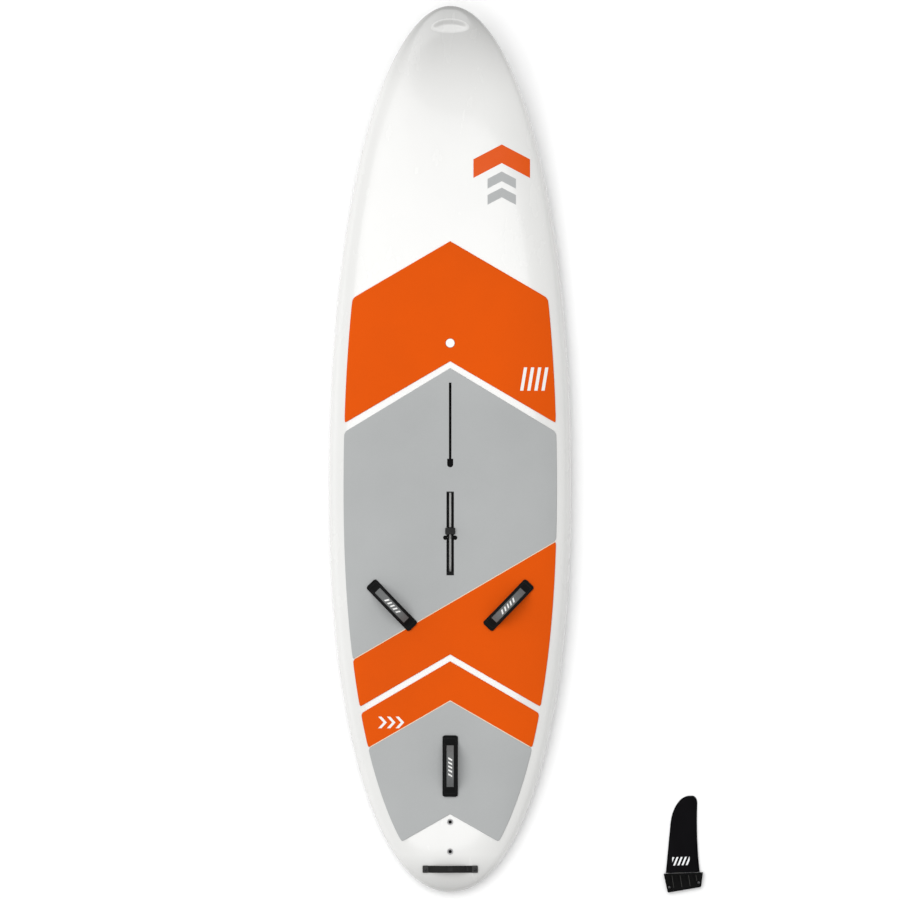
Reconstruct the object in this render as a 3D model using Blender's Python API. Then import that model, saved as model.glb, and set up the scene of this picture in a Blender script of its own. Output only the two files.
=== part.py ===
"""A flat-water windsurf board, lying deck up with its fin beside the tail.

Metres, +Z up, nose towards +Y, starboard rail towards +X. The origin is on the flat of the bottom
skin, halfway along the board. The board is a sandwich: a foam core between a deck skin and a bottom
skin, with soft deck pads, a slotted mast track, a daggerboard that swings in a case, a fin box,
three footstraps, a vent plug and a tail handle.
"""

import math

import bmesh
import bpy
from mathutils import Matrix, Vector

for old in list(bpy.data.objects):
    bpy.data.objects.remove(old)

# ---- Hull ----
LENGTH = 2.75
HALF_LENGTH = LENGTH / 2
HALF_WIDTH = 0.376
WIDE_POINT = -0.12            # where the board is widest, behind the middle
NOSE_OUTLINE = (2.13, 1.965)  # exponents of the plan outline ahead of the wide point
TAIL_OUTLINE = (2.19, 2.11)
THICKNESS = 0.146
THICK_POINT = -0.15
NOSE_THINNING = (0.60, 2.2)   # share of thickness lost at the nose, and how suddenly
TAIL_THINNING = (0.55, 2.6)
NOSE_ROCKER = (0.35, 0.19, 2.3)    # where it starts, how high the tip is lifted, exponent
TAIL_ROCKER = (-0.95, 0.014, 2.0)
RAIL_SHARE = 0.38             # height of the rail's widest line, as a share of the thickness
DECK_EXPONENT = 3.2           # superellipse of the deck's cross-section
RAIL_TUCK = 0.10              # how far the bottom's rounded edge reaches in from the rail
TIP_START = 1.0               # nose and tail round off beyond this distance from the middle
STATIONS = 28
DECK_STEPS = 12
TUCK_STEPS = 4
SKIN = 0.004
GAP = 0.0003                  # between pieces that touch
DECK_LIFT = 0.0003            # keeps the two skins apart at the rail seam
CUT_TOP = 0.40                # cutters that open upwards reach past the whole board

# ---- Deck pads ----
PAD_GAP = 0.0005
PAD_TOP = 0.0035
PAD_INSET = 0.045             # from the rail to a pad's side
SIDE_POINTS = 6

# ---- Mast track ----
TRACK_SLOT = 0.004            # half-width
TRACK_CHANNEL = 0.0094        # half-width of the channel and of the insertion hole
TRACK_FRONT, TRACK_NECK, TRACK_REAR = 0.207, -0.0294, -0.0561
TRACK_BOX = (0.0175, 0.034, 0.010)   # half-width, depth, wall at the ends

# ---- Daggerboard, measured from its pivot: u towards the nose, v up ----
PIVOT_Y = -0.2745
PIVOT_DEPTH = 0.010           # below the top of the deck pad
CASE_HALF, WELL_HALF = 0.0113, 0.0090
RIM_FRONT, RIM_REAR = 0.143, -0.1165
WELL_FRONT, SLOT_REAR, WELL_REAR, CASE_REAR = 0.1405, -0.105, -0.5305, -0.533
LIP_GAP, LIP_EDGE, LIP_LOW = 0.0037, 0.0086, 0.0070
LOWER_LIP = (0.0118, 0.0250, 0.0015)   # inner edge, outer edge, thickness
HEAD_HALF, NECK_HALF, HEAD_CORNER = 0.0070, 0.0031, 0.030
BOARD_LOW, BLADE_ROOT, BLADE_TIP = -0.128, -0.104, -0.520
AXLE_R, HUB_R, SEAT_R, SEAT_X = 0.0030, 0.0064, 0.0065, 0.0154
SEAT_DEPTH, SEAT_PROUD = 0.0080, 0.0008   # below the pivot, above the rim
PEG = (0.0155, 0.0105, 0.0305, 0.0115, 0.0220)  # half-width, u from, u to, v from, v to

# ---- Fin and its box ----
FIN_CENTRE = -1.2035          # middle of the box's mouth
BOLT_HALF_SPACING = 0.046
BASE_TOP, BASE_LOW_LEFT, BASE_LOW_RIGHT = 0.061, (-0.0505, -0.0592), (0.0535, -0.0455)
BASE_HALF, CAVITY_HALF, BOX_WALL = 0.0090, 0.0094, 0.0050
NUT_R = 0.0042
BOLT_R, BOLT_HEAD_R, BUSH_FLANGE_R, BUSH_R = 0.0030, 0.0046, 0.0095, 0.0062
FIN_PLACE = (0.7247, -1.3172, math.radians(2.06))  # where it lies beside the tail
FIN_TILT = math.radians(1.65)
FIN_LEAD = ((-0.0545, 0.0), (-0.0450, 0.0733), (-0.0354, 0.1467), (-0.0259, 0.2200))
FIN_TRAIL = ((0.0512, 0.0), (0.0462, 0.0600), (0.0450, 0.1300), (0.0514, 0.2160))
FIN_TIP = (0.0330, 0.2395)
LEAD_CORNER, TRAIL_CORNER = (0.150, 2.3), (0.213, 2.4)  # where each edge turns to the tip, exponent
FIN_HEIGHTS = (0.0015, 0.05, 0.10, 0.15, 0.185, 0.205, 0.220, 0.2295, 0.2355, 0.2385)
FIN_LENGTH, FIN_HALF_THICK = 0.24, 0.0052
NUT_HALF_LENGTH, NUT_DEPTHS = 0.0080, (0.0430, 0.0320)   # front and rear

# ---- Footstraps ----
STRAP_HALF_LENGTH = 0.0935
STRAP_ARCH = (0.0560, 0.080, 3.2, 2.2)   # crown height, half-span and shape of the arch
STRAP_FOOT_Z = 0.0058
STRAP_SCREW = 0.0862
SLEEVE_HALF_THICK = 0.0050
WEB_HALF_WIDTH, WEB_HALF_THICK = 0.0125, 0.0010
STRAPS = {                     # centre, direction in degrees from +X, half-width
    "strap_left": ((-0.181, -0.484), -46.0, 0.0195),
    "strap_right": ((0.181, -0.484), 226.0, 0.0195),
    "strap_rear": ((0.0, -0.9835), -90.0, 0.0228),
}

# ---- Vent, handle and nose scoop ----
VENT_Y = 0.3295
VENT_R = 0.0142
HANDLE_Y = -1.3045
HANDLE_HALF_WIDTH = 0.0115
HANDLE_ARCH = (0.022, 0.066, 3.0, 2.0)
HANDLE_FOOT = 0.0024
HANDLE_SCREW = 0.0765
HANDLE_PLATE = (0.0680, 0.0860)   # from and to, along the handle
HANDLE_BLOCK = (0.084, 0.010, 0.040, 0.016)   # half-length, half-width, depth of its foot, height
SCOOP_Y = (1.2925, 1.333)
SCOOP_HALF = 0.056
SCOOP_DEPTH = 0.012


# ---------------------------------------------------------------- materials and mesh helpers
def material(name, colour, roughness, metallic=0.0):
    made = bpy.data.materials.new(name)
    made.use_nodes = True
    shader = made.node_tree.nodes["Principled BSDF"]
    shader.inputs["Base Color"].default_value = (*colour, 1.0)
    shader.inputs["Roughness"].default_value = roughness
    shader.inputs["Metallic"].default_value = metallic
    return made


WHITE = material("white_lacquer", (0.90, 0.90, 0.89), 0.25)
FOAM = material("bead_foam", (0.88, 0.88, 0.86), 0.9)
ORANGE = material("orange_foam", (0.74, 0.095, 0.006), 0.8)
GREY = material("grey_foam", (0.46, 0.47, 0.47), 0.8)
BLACK = material("black_plastic", (0.015, 0.015, 0.016), 0.5)
RUBBER = material("black_rubber", (0.02, 0.02, 0.02), 0.7)
STEEL = material("steel", (0.62, 0.62, 0.63), 0.3, 1.0)
COMPOSITE = material("grey_composite", (0.34, 0.34, 0.33), 0.4)
FABRIC = material("strap_fabric", (0.013, 0.014, 0.014), 0.9)
LABEL = material("label_grey", (0.20, 0.20, 0.20), 0.7)
CARBON = material("fin_black", (0.006, 0.006, 0.008), 0.2)


def add(bm, name, mat):
    """A named object from a bmesh, with its normals pointing out and round faces shaded smooth."""
    bmesh.ops.recalc_face_normals(bm, faces=bm.faces)
    mesh = bpy.data.meshes.new(name)
    bm.to_mesh(mesh)
    bm.free()
    mesh.materials.append(mat)
    mesh.shade_smooth()
    mesh.set_sharp_from_angle(angle=math.radians(35))
    obj = bpy.data.objects.new(name, mesh)
    bpy.context.scene.collection.objects.link(obj)
    return obj


def extruded(name, outline, direction, mat=BLACK):
    """A closed prism: a flat outline of 3-D points pushed along a direction."""
    bm = bmesh.new()
    low = [bm.verts.new(p) for p in outline]
    high = [bm.verts.new(Vector(p) + Vector(direction)) for p in outline]
    bm.faces.new(low)
    bm.faces.new(high)
    for i in range(len(outline)):
        j = (i + 1) % len(outline)
        bm.faces.new((low[i], low[j], high[j], high[i]))
    return add(bm, name, mat)


def upright(name, outline, z0, z1, mat=BLACK):
    """A prism on an outline of (x, y) points."""
    return extruded(name, [(x, y, z0) for x, y in outline], (0, 0, z1 - z0), mat)


def sideways(name, outline, half, mat=BLACK, centre=0.0):
    """A prism on an outline of (y, z) points, from -half to +half across the board."""
    return extruded(name, [(centre - half, y, z) for y, z in outline], (2 * half, 0, 0), mat)


def block(name, low, high, mat=BLACK):
    corners = [(low[0], low[1]), (high[0], low[1]), (high[0], high[1]), (low[0], high[1])]
    return upright(name, corners, low[2], high[2], mat)


def circle(radius, sides, centre=(0.0, 0.0)):
    turn = [2 * math.pi * (k + 0.5) / sides for k in range(sides)]
    return [(centre[0] + radius * math.cos(a), centre[1] + radius * math.sin(a)) for a in turn]


def disc(name, x, y, radius, z0, z1, mat=BLACK, sides=18):
    return upright(name, circle(radius, sides, (x, y)), z0, z1, mat)


def turned(name, profile, mat, place, sides=18):
    """A ring or disc turned about a vertical line through place from (radius, z) points."""
    bm = bmesh.new()
    rings = []
    for radius, z in profile:
        if radius == 0.0:
            rings.append([bm.verts.new((0, 0, z))])
        else:
            rings.append([bm.verts.new((x, y, z)) for x, y in circle(radius, sides)])
    pairs = list(zip(rings, rings[1:]))
    if profile[0][0] > 0.0:
        pairs.append((rings[-1], rings[0]))
    for a, b in pairs:
        join_rings(bm, a, b, closed=True)
    made = add(bm, name, mat)
    made.location = place
    return made


def join_rings(bm, a, b, closed, split=False):
    """Faces between two rows of points. A row of one point is a tip.

    With split, each face becomes two triangles by one rule, so that nested surfaces keep apart.
    """
    count = max(len(a), len(b))
    for j in range(count if closed else count - 1):
        k = (j + 1) % count
        aj, ak, bk, bj = a[j % len(a)], a[k % len(a)], b[k % len(b)], b[j % len(b)]
        unique = list(dict.fromkeys((aj, ak, bk, bj)))
        if split and len(unique) == 4:
            outward = abs(aj.co.x) <= abs(ak.co.x)
            bm.faces.new((aj, ak, bk) if outward else (aj, ak, bj))
            bm.faces.new((aj, bk, bj) if outward else (ak, bk, bj))
        elif len(unique) > 2:
            bm.faces.new(unique)


def lofted(name, rings, mat):
    """A solid through closed rings of equal length, with flat ends."""
    bm = bmesh.new()
    rows = [[bm.verts.new(p) for p in ring] for ring in rings]
    for a, b in zip(rows, rows[1:]):
        join_rings(bm, a, b, closed=True)
    bm.faces.new(rows[0])
    bm.faces.new(rows[-1])
    return add(bm, name, mat)


def boolean(obj, tool, operation="DIFFERENCE"):
    """Applies a tool shape to obj. The tool is a guide, which isn't part of the board."""
    tool.hide_render = True
    tool.display_type = "WIRE"
    modifier = obj.modifiers.new(tool.name, "BOOLEAN")
    modifier.operation = operation
    modifier.solver = "EXACT"
    modifier.object = tool


def cut(obj, *tools):
    for tool in tools:
        boolean(obj, tool)


# ---------------------------------------------------------------- the hull's shape
def half_width(y):
    """Half the board's width at y: a superellipse ahead of the wide point and another behind it."""
    reach = HALF_LENGTH - WIDE_POINT if y > WIDE_POINT else HALF_LENGTH + WIDE_POINT
    power, root = NOSE_OUTLINE if y > WIDE_POINT else TAIL_OUTLINE
    share = min(abs(y - WIDE_POINT) / reach, 1.0)
    return HALF_WIDTH * (1.0 - share**power) ** (1.0 / root)


def rocker(y):
    """Height of the bottom's centreline, zero along the flat middle."""
    for start, lift, power in (NOSE_ROCKER, TAIL_ROCKER):
        tip = math.copysign(HALF_LENGTH, start)
        share = (y - start) / (tip - start)
        if share > 0:
            return lift * share**power
    return 0.0


def thickness(y):
    loss, power = NOSE_THINNING if y > THICK_POINT else TAIL_THINNING
    reach = HALF_LENGTH - THICK_POINT if y > THICK_POINT else HALF_LENGTH + THICK_POINT
    return THICKNESS * (1.0 - loss * (abs(y - THICK_POINT) / reach) ** power)


def tip_fade(y):
    """1 along the board, falling to 0 at its two tips, which rounds them in side view."""
    share = max(0.0, (abs(y) - TIP_START) / (HALF_LENGTH - TIP_START))
    return math.sqrt(max(0.0, 1.0 - min(share, 1.0) ** 6))


def rail_height(y):
    return rocker(y) + RAIL_SHARE * thickness(y)


def deck_rise(y):
    return (1.0 - RAIL_SHARE) * thickness(y) * tip_fade(y)


def bottom_drop(y):
    return RAIL_SHARE * thickness(y) * tip_fade(y)


def deck_z(x, y, inset=0.0):
    """Height of the deck at a point, or of the surface that lies inset below it."""
    y = y * HALF_LENGTH / (HALF_LENGTH - inset)
    share = min(abs(x) / (half_width(y) - inset), 1.0)
    rise = (deck_rise(y) - inset) * (1.0 - share**DECK_EXPONENT) ** (1.0 / DECK_EXPONENT)
    return rail_height(y) + rise + DECK_LIFT


def pad_z(x, y):
    return deck_z(x, y, -PAD_TOP)


def deck_normal(x, y):
    step = 0.004
    slope_x = (deck_z(x + step, y) - deck_z(x - step, y)) / (2 * step)
    slope_y = (deck_z(x, y + step) - deck_z(x, y - step)) / (2 * step)
    return Vector((-slope_x, -slope_y, 1.0)).normalized()


def station(k):
    return HALF_LENGTH * math.sin(math.pi / 2 * (2.0 * k / STATIONS - 1.0))


def deck_row(y, inset, lift):
    """Points across the deck from rail to rail at one station, or one point at a tip."""
    place = y * (HALF_LENGTH - inset) / HALF_LENGTH
    level = rail_height(y) + lift
    width, rise = half_width(y) - inset, deck_rise(y) - inset
    if half_width(y) < 1e-4:
        return [(0.0, place, level)]
    row = []
    for j in range(DECK_STEPS + 1):
        angle = math.pi * (j / DECK_STEPS - 0.5)
        across = math.copysign(abs(math.sin(angle)) ** (2 / DECK_EXPONENT), angle)
        up = max(0.0, math.cos(angle)) ** (2 / DECK_EXPONENT) if j % DECK_STEPS else 0.0
        row.append((width * across, place, level + rise * up))
    return row


def bottom_row(y, inset):
    """Points across the bottom from rail to rail: a rounded tuck, the flat, and the other tuck."""
    place = y * (HALF_LENGTH - inset) / HALF_LENGTH
    level = rail_height(y)
    width, drop = half_width(y) - inset, bottom_drop(y) - inset
    if half_width(y) < 1e-4:
        return [(0.0, place, level)]
    tuck = min(RAIL_TUCK, 0.75 * width)
    side = []
    for j in range(TUCK_STEPS + 1):
        angle = math.pi / 2 * (1.0 - j / TUCK_STEPS)
        down = math.cos(angle) if j else 0.0
        side.append((width - tuck + tuck * math.sin(angle), place, level - drop * down))
    return [(-x, y2, z) for x, y2, z in side] + side[::-1]


def skin(name, outer, inner, mat):
    """A thin shell between two surfaces that end at the rails and at the two tips."""
    bm = bmesh.new()
    rows = [[bm.verts.new(p) for p in row] for row in outer]
    backs = [[bm.verts.new(p) for p in row] for row in inner]
    for layer in (rows, backs):
        for a, b in zip(layer, layer[1:]):
            join_rings(bm, a, b, closed=False, split=True)
    for k in range(len(rows) - 1):
        for edge in (0, -1):
            bm.faces.new((rows[k][edge], rows[k + 1][edge], backs[k + 1][edge], backs[k][edge]))
    return add(bm, name, mat)


def hull_solid(name, inset, mat):
    """The whole hull shape, inset below its outer surface."""
    bm = bmesh.new()
    rings = []
    for k in range(STATIONS + 1):
        y = station(k)
        ring = deck_row(y, inset, 0.0)
        if len(ring) > 1:
            ring += bottom_row(y, inset)[-2:0:-1]
        rings.append([bm.verts.new(p) for p in ring])
    for a, b in zip(rings, rings[1:]):
        join_rings(bm, a, b, closed=True, split=True)
    return add(bm, name, mat)


stations = [station(k) for k in range(STATIONS + 1)]
deck_skin = skin(
    "deck_skin",
    [deck_row(y, 0.0, DECK_LIFT) for y in stations],
    [deck_row(y, SKIN, DECK_LIFT) for y in stations],
    WHITE,
)
bottom_skin = skin(
    "bottom_skin",
    [bottom_row(y, 0.0) for y in stations],
    [bottom_row(y, SKIN) for y in stations],
    WHITE,
)
foam_core = hull_solid("foam_core", SKIN + GAP, FOAM)


# ---------------------------------------------------------------- deck pads
def pad_blank(name, mat):
    """The whole deck as a thin sheet, which each pad's outline is then cut from."""
    bm = bmesh.new()
    rows = stations[2:-2]
    layers = []
    for inset in (-PAD_TOP, -PAD_GAP):
        grid = [deck_row(y, inset, DECK_LIFT)[1:-1] for y in rows]
        layers.append([[bm.verts.new(p) for p in row] for row in grid])
    top, low = layers
    for layer in layers:
        for a, b in zip(layer, layer[1:]):
            join_rings(bm, a, b, closed=False, split=True)
    join_rings(bm, top[0], low[0], closed=False)
    join_rings(bm, top[-1], low[-1], closed=False)
    for edge in (0, -1):
        for k in range(len(top) - 1):
            bm.faces.new((top[k][edge], top[k + 1][edge], low[k + 1][edge], low[k][edge]))
    return add(bm, name, mat)


def pad_side(side, y_from, y_to):
    """Points along a pad's side, which keeps its distance from the rail."""
    steps = [y_from + (y_to - y_from) * k / SIDE_POINTS for k in range(SIDE_POINTS + 1)]
    return [(side * (half_width(y) - PAD_INSET), y) for y in steps]


def pad(name, outline, mat):
    made = pad_blank(name, mat)
    boolean(made, upright(name + "_outline", outline, 0.0, CUT_TOP), "INTERSECT")
    return made


CHEVRONS = {  # pad edge: height at the centreline and at the side
    "front_top": (0.646, 0.469),
    "front_low": (0.273, 0.081),
    "middle_top": (0.252, 0.053),
    "middle_low": (-0.637, -0.800),
    "rear_top": (-0.658, -0.820),
    "rear_split": (-0.781, -0.928),
    "rear_low": (-1.133, -1.219),
}
SPLIT_RIGHT, SPLIT_LEFT = (0.3325, -0.283), (-0.301, -0.6525)
SPLIT_HALF = 0.0008


def between(top, low, mat, name, low_shift=0.0, top_shift=0.0):
    """A pad bounded by two chevrons and by lines that follow the rails."""
    (ty, ts), (ly, ls) = CHEVRONS[top], CHEVRONS[low]
    ty, ts, ly, ls = ty + top_shift, ts + top_shift, ly + low_shift, ls + low_shift
    outline = [(0.0, ty)] + pad_side(1, ts, ls) + [(0.0, ly)] + pad_side(-1, ls, ts)
    return pad(name, outline, mat)


def split_shift(point, sign):
    """A point of the middle pad's diagonal joint, moved to one side of it."""
    along = Vector((SPLIT_RIGHT[0] - SPLIT_LEFT[0], SPLIT_RIGHT[1] - SPLIT_LEFT[1])).normalized()
    return (point[0] - sign * along.y * SPLIT_HALF, point[1] + sign * along.x * SPLIT_HALF)


pad_front = between("front_top", "front_low", ORANGE, "pad_front")
top_y, top_side = CHEVRONS["middle_top"]
low_y, low_side = CHEVRONS["middle_low"]
upper_right, upper_left = split_shift(SPLIT_RIGHT, 1), split_shift(SPLIT_LEFT, 1)
lower_right, lower_left = split_shift(SPLIT_RIGHT, -1), split_shift(SPLIT_LEFT, -1)
pad_middle_grey = pad(
    "pad_middle_grey",
    [(0.0, top_y)] + pad_side(1, top_side, upper_right[1]) + pad_side(-1, upper_left[1], top_side),
    GREY,
)
pad_middle_orange = pad(
    "pad_middle_orange",
    pad_side(1, lower_right[1], low_side) + [(0.0, low_y)] + pad_side(-1, low_side, lower_left[1]),
    ORANGE,
)
pad_rear_orange = between(
    "rear_top", "rear_split", ORANGE, "pad_rear_orange", low_shift=SPLIT_HALF
)
pad_rear_grey = between("rear_split", "rear_low", GREY, "pad_rear_grey", top_shift=-SPLIT_HALF)


# ---------------------------------------------------------------- mast track
def keyhole(slot, hole, front, neck, rear):
    """Plan outline of the slot with its wider insertion hole, whose rear end is round."""
    centre = rear + hole
    arc = [math.pi * k / 8 for k in range(9)]
    bend = [(hole * math.cos(a), centre - hole * math.sin(a)) for a in arc]
    return [(-slot, front), (-slot, neck), (-hole, neck)] + bend[::-1] + [
        (hole, neck), (slot, neck), (slot, front)]


track_top = min(deck_z(0, TRACK_FRONT + 0.01), deck_z(0, TRACK_REAR - 0.01)) - GAP
box_half, box_depth, box_end = TRACK_BOX
box_low = track_top - box_depth
mast_track_box = block(
    "mast_track_box",
    (-box_half, TRACK_REAR - box_end, box_low),
    (box_half, TRACK_FRONT + box_end, track_top),
    BLACK,
)
slot_plan = keyhole(TRACK_SLOT, TRACK_CHANNEL, TRACK_FRONT, TRACK_NECK, TRACK_REAR)
slot_tool = upright("slot_tool", slot_plan, track_top - 0.022, CUT_TOP)
channel_tool = block(
    "channel_tool",
    (-TRACK_CHANNEL, TRACK_REAR, track_top - 0.028),
    (TRACK_CHANNEL, TRACK_FRONT, track_top - 0.012),
)
cut(mast_track_box, slot_tool, channel_tool)
track_pocket = block(
    "track_pocket",
    (-box_half - GAP, TRACK_REAR - box_end - GAP, box_low - GAP),
    (box_half + GAP, TRACK_FRONT + box_end + GAP, CUT_TOP),
)
cut(deck_skin, track_pocket)
cut(foam_core, track_pocket)
cut(pad_middle_grey, slot_tool)


# ---------------------------------------------------------------- daggerboard
PIVOT = Vector((0.0, PIVOT_Y, pad_z(0.0, PIVOT_Y) - PIVOT_DEPTH))
pivot_empty = bpy.data.objects.new("daggerboard_pivot", None)
pivot_empty.location = PIVOT
bpy.context.scene.collection.objects.link(pivot_empty)


def from_pivot(points):
    """(u, v) points measured from the pivot, as (y, z)."""
    return [(PIVOT.y + u, PIVOT.z + v) for u, v in points]


def on_pivot(obj):
    """Moves an object's origin onto the daggerboard's joint and hangs it from the pivot's empty."""
    obj.data.transform(Matrix.Translation(-PIVOT))
    obj.parent = pivot_empty
    return obj


floor_v = -PIVOT.z
case_low = floor_v + 0.0005
roof = [(RIM_REAR, 0.0010), (CASE_REAR, -0.0160)]
ceiling = [(SLOT_REAR, -0.0015), (WELL_REAR, -0.0190)]
case_outline = [
    (RIM_FRONT, case_low), (RIM_FRONT, PIVOT_DEPTH), (RIM_REAR, PIVOT_DEPTH), *roof,
    (CASE_REAR, case_low),
]
well_outline = [
    (WELL_FRONT, floor_v - 0.02), (WELL_FRONT, PIVOT_DEPTH + 0.02),
    (SLOT_REAR, PIVOT_DEPTH + 0.02), *ceiling, (WELL_REAR, floor_v - 0.02),
]
daggerboard_case = sideways("daggerboard_case", from_pivot(case_outline), CASE_HALF, BLACK)
cut(daggerboard_case, sideways("well_tool", from_pivot(well_outline), WELL_HALF))

room = CASE_HALF + GAP
case_pocket = sideways(
    "case_pocket",
    from_pivot([
        (RIM_FRONT + GAP, floor_v - 0.02), (RIM_FRONT + GAP, PIVOT_DEPTH + 0.03),
        (RIM_REAR - GAP, PIVOT_DEPTH + 0.03), (RIM_REAR - GAP, 0.0013),
        (CASE_REAR - GAP, -0.0157), (CASE_REAR - GAP, floor_v - 0.02),
    ]),
    room,
)
cut(deck_skin, case_pocket)
cut(bottom_skin, case_pocket)
cut(foam_core, case_pocket)
cut(pad_middle_grey, case_pocket)


def seat_tools(extra):
    """Upright round pockets for the two axle seats."""
    made = []
    for side in (-1, 1):
        low, high = PIVOT.z - SEAT_DEPTH - extra, CUT_TOP
        name = f"seat_tool_{side}_{extra:.4f}"
        made.append(disc(name, side * SEAT_X, PIVOT.y, SEAT_R + extra, low, high))
    return made


seat_pockets = seat_tools(GAP)
for part in (daggerboard_case, deck_skin, foam_core, pad_middle_grey):
    cut(part, *seat_pockets)


def across(name, radius, x0, x1, mat=BLACK, sides=18):
    """A round bar along X through the daggerboard's pivot."""
    ring = [(x0, PIVOT.y + a, PIVOT.z + b) for a, b in circle(radius, sides)]
    return extruded(name, ring, (x1 - x0, 0, 0), mat)


pivot_axle = on_pivot(across("pivot_axle", AXLE_R, -0.0190, 0.0190, STEEL))
axle_room = across("axle_room", AXLE_R + GAP, -0.0195, 0.0195)
cut(daggerboard_case, axle_room)
for side, word in ((-1, "left"), (1, "right")):
    seat = disc(
        f"axle_seat_{word}", side * SEAT_X, PIVOT.y, SEAT_R,
        PIVOT.z - SEAT_DEPTH, PIVOT.z + PIVOT_DEPTH + SEAT_PROUD, RUBBER,
    )
    cut(seat, axle_room)

lip_top = PIVOT.z + PIVOT_DEPTH
for side, word in ((-1, "left"), (1, "right")):
    inner, outer = sorted((side * LIP_GAP, side * LIP_EDGE))
    block(
        f"slot_lip_{word}",
        (inner, PIVOT.y + SLOT_REAR + 0.0005, PIVOT.z + LIP_LOW),
        (outer, PIVOT.y + WELL_FRONT - 0.0005, lip_top),
        RUBBER,
    )
block(
    "slot_strip",
    (-0.0033, PIVOT.y + 0.0330, PIVOT.z + 0.0050),
    (0.0033, PIVOT.y + WELL_FRONT - 0.0005, PIVOT.z + 0.0085),
    LABEL,
)

recess = block(
    "lower_lip_recess",
    (-LOWER_LIP[1] - GAP, PIVOT.y + CASE_REAR - 0.012, -0.01),
    (LOWER_LIP[1] + GAP, PIVOT.y + RIM_FRONT + 0.012, LOWER_LIP[2] + GAP),
)
cut(bottom_skin, recess)
for side, word in ((-1, "left"), (1, "right")):
    inner, outer = sorted((side * LOWER_LIP[0], side * LOWER_LIP[1]))
    block(
        f"lower_lip_{word}",
        (inner, PIVOT.y + CASE_REAR - 0.0115, 0.0004),
        (outer, PIVOT.y + RIM_FRONT + 0.0115, LOWER_LIP[2]),
        RUBBER,
    )


def arc(centre, radius, start, end, count):
    """(u, v) points round a centre, from one angle to another in degrees."""
    turn = [math.radians(start + (end - start) * k / (count - 1)) for k in range(count)]
    return [(centre[0] + radius * math.cos(a), centre[1] + radius * math.sin(a)) for a in turn]


head_outline = (
    arc((0.0, 0.0), HUB_R, -8, 120, 9)
    + [(-0.0120, 0.0050), (BLADE_ROOT, 0.0050), (BLADE_ROOT, BOARD_LOW)]
    + arc((0.0070 - HEAD_CORNER, BOARD_LOW + HEAD_CORNER), HEAD_CORNER, -90, 0, 6)
)
daggerboard_head = sideways("daggerboard_head", from_pivot(head_outline), HEAD_HALF, COMPOSITE)
neck_outline = [
    (-0.0030, -0.0050), (0.0050, -0.0020), (0.0270, PEG[3] - GAP), (0.0130, PEG[3] - GAP),
    (-0.0020, 0.0055),
]
boolean(daggerboard_head, sideways("neck", from_pivot(neck_outline), NECK_HALF), "UNION")
cut(daggerboard_head, across("hub_bore", AXLE_R + 2 * GAP, -0.02, 0.02))
on_pivot(daggerboard_head)

peg_half, peg_rear, peg_front, peg_low, peg_top = PEG
chamfer = 0.0025
peg_outline = [
    (peg_rear, peg_low), (peg_front, peg_low), (peg_front, peg_top - chamfer),
    (peg_front - chamfer, peg_top), (peg_rear + chamfer, peg_top), (peg_rear, peg_top - chamfer),
]
foot_peg = on_pivot(sideways("foot_peg", from_pivot(peg_outline), peg_half, RUBBER))


def blade_ring(share):
    """A lens-shaped section of the daggerboard's blade, from its root to its tip."""
    u = BLADE_ROOT - GAP + (BLADE_TIP - BLADE_ROOT + GAP) * share
    top = -0.0045 - 0.0180 * share
    low = BOARD_LOW + 0.012 * share
    if share > 0.8:
        pinch = 1.0 - math.sqrt(max(0.0, 1.0 - ((share - 0.8) / 0.2) ** 2))
        low += pinch * 0.055
        top -= pinch * 0.030
    half = 0.0070 - 0.0028 * share
    chord = top - low
    shape = [(0.0, 0.0), (0.7, 0.1), (1.0, 0.35), (0.75, 0.7), (0.15, 1.0)]
    ring = [(half * a, u, low + chord * b) for a, b in shape]
    ring += [(-half * a, u, low + chord * b) for a, b in shape[:0:-1]]
    return [(x, PIVOT.y + y, PIVOT.z + z) for x, y, z in ring]


BLADE_STATIONS = (0.0, 0.125, 0.4, 0.7, 0.8, 0.9, 0.96, 1.0)
daggerboard_blade = on_pivot(
    lofted("daggerboard_blade", [blade_ring(s) for s in BLADE_STATIONS], COMPOSITE)
)


# ---------------------------------------------------------------- fin box, bushes and bolts
def trapezoid(grow, low=None):
    """(y, z) outline of the fin's root, grown all round, from its mouth or from further down."""
    base = rocker(FIN_CENTRE)
    front_y, front_z = FIN_CENTRE - BASE_LOW_LEFT[0], base - BASE_LOW_LEFT[1]
    rear_y, rear_z = FIN_CENTRE - BASE_LOW_RIGHT[0], base - BASE_LOW_RIGHT[1]
    front, rear = FIN_CENTRE + BASE_TOP + grow, FIN_CENTRE - BASE_TOP - grow
    ends = [] if low is None else [(rear, low), (front, low)]
    return ends + [
        (front, fin_mouth), (front_y + grow, front_z + grow), (rear_y - grow, rear_z + grow),
        (rear, fin_mouth),
    ]


fin_mouth = rocker(FIN_CENTRE + BASE_TOP) + 0.0010
fin_box = sideways("fin_box", trapezoid(BOX_WALL), CAVITY_HALF + 0.0045, BLACK)
cut(fin_box, sideways("fin_cavity", trapezoid(0.0005, fin_mouth - 0.002), CAVITY_HALF))
box_pocket = sideways(
    "fin_box_pocket", trapezoid(BOX_WALL + GAP, -0.03), CAVITY_HALF + 0.0045 + GAP
)
cut(foam_core, box_pocket)
cut(bottom_skin, box_pocket)

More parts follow.
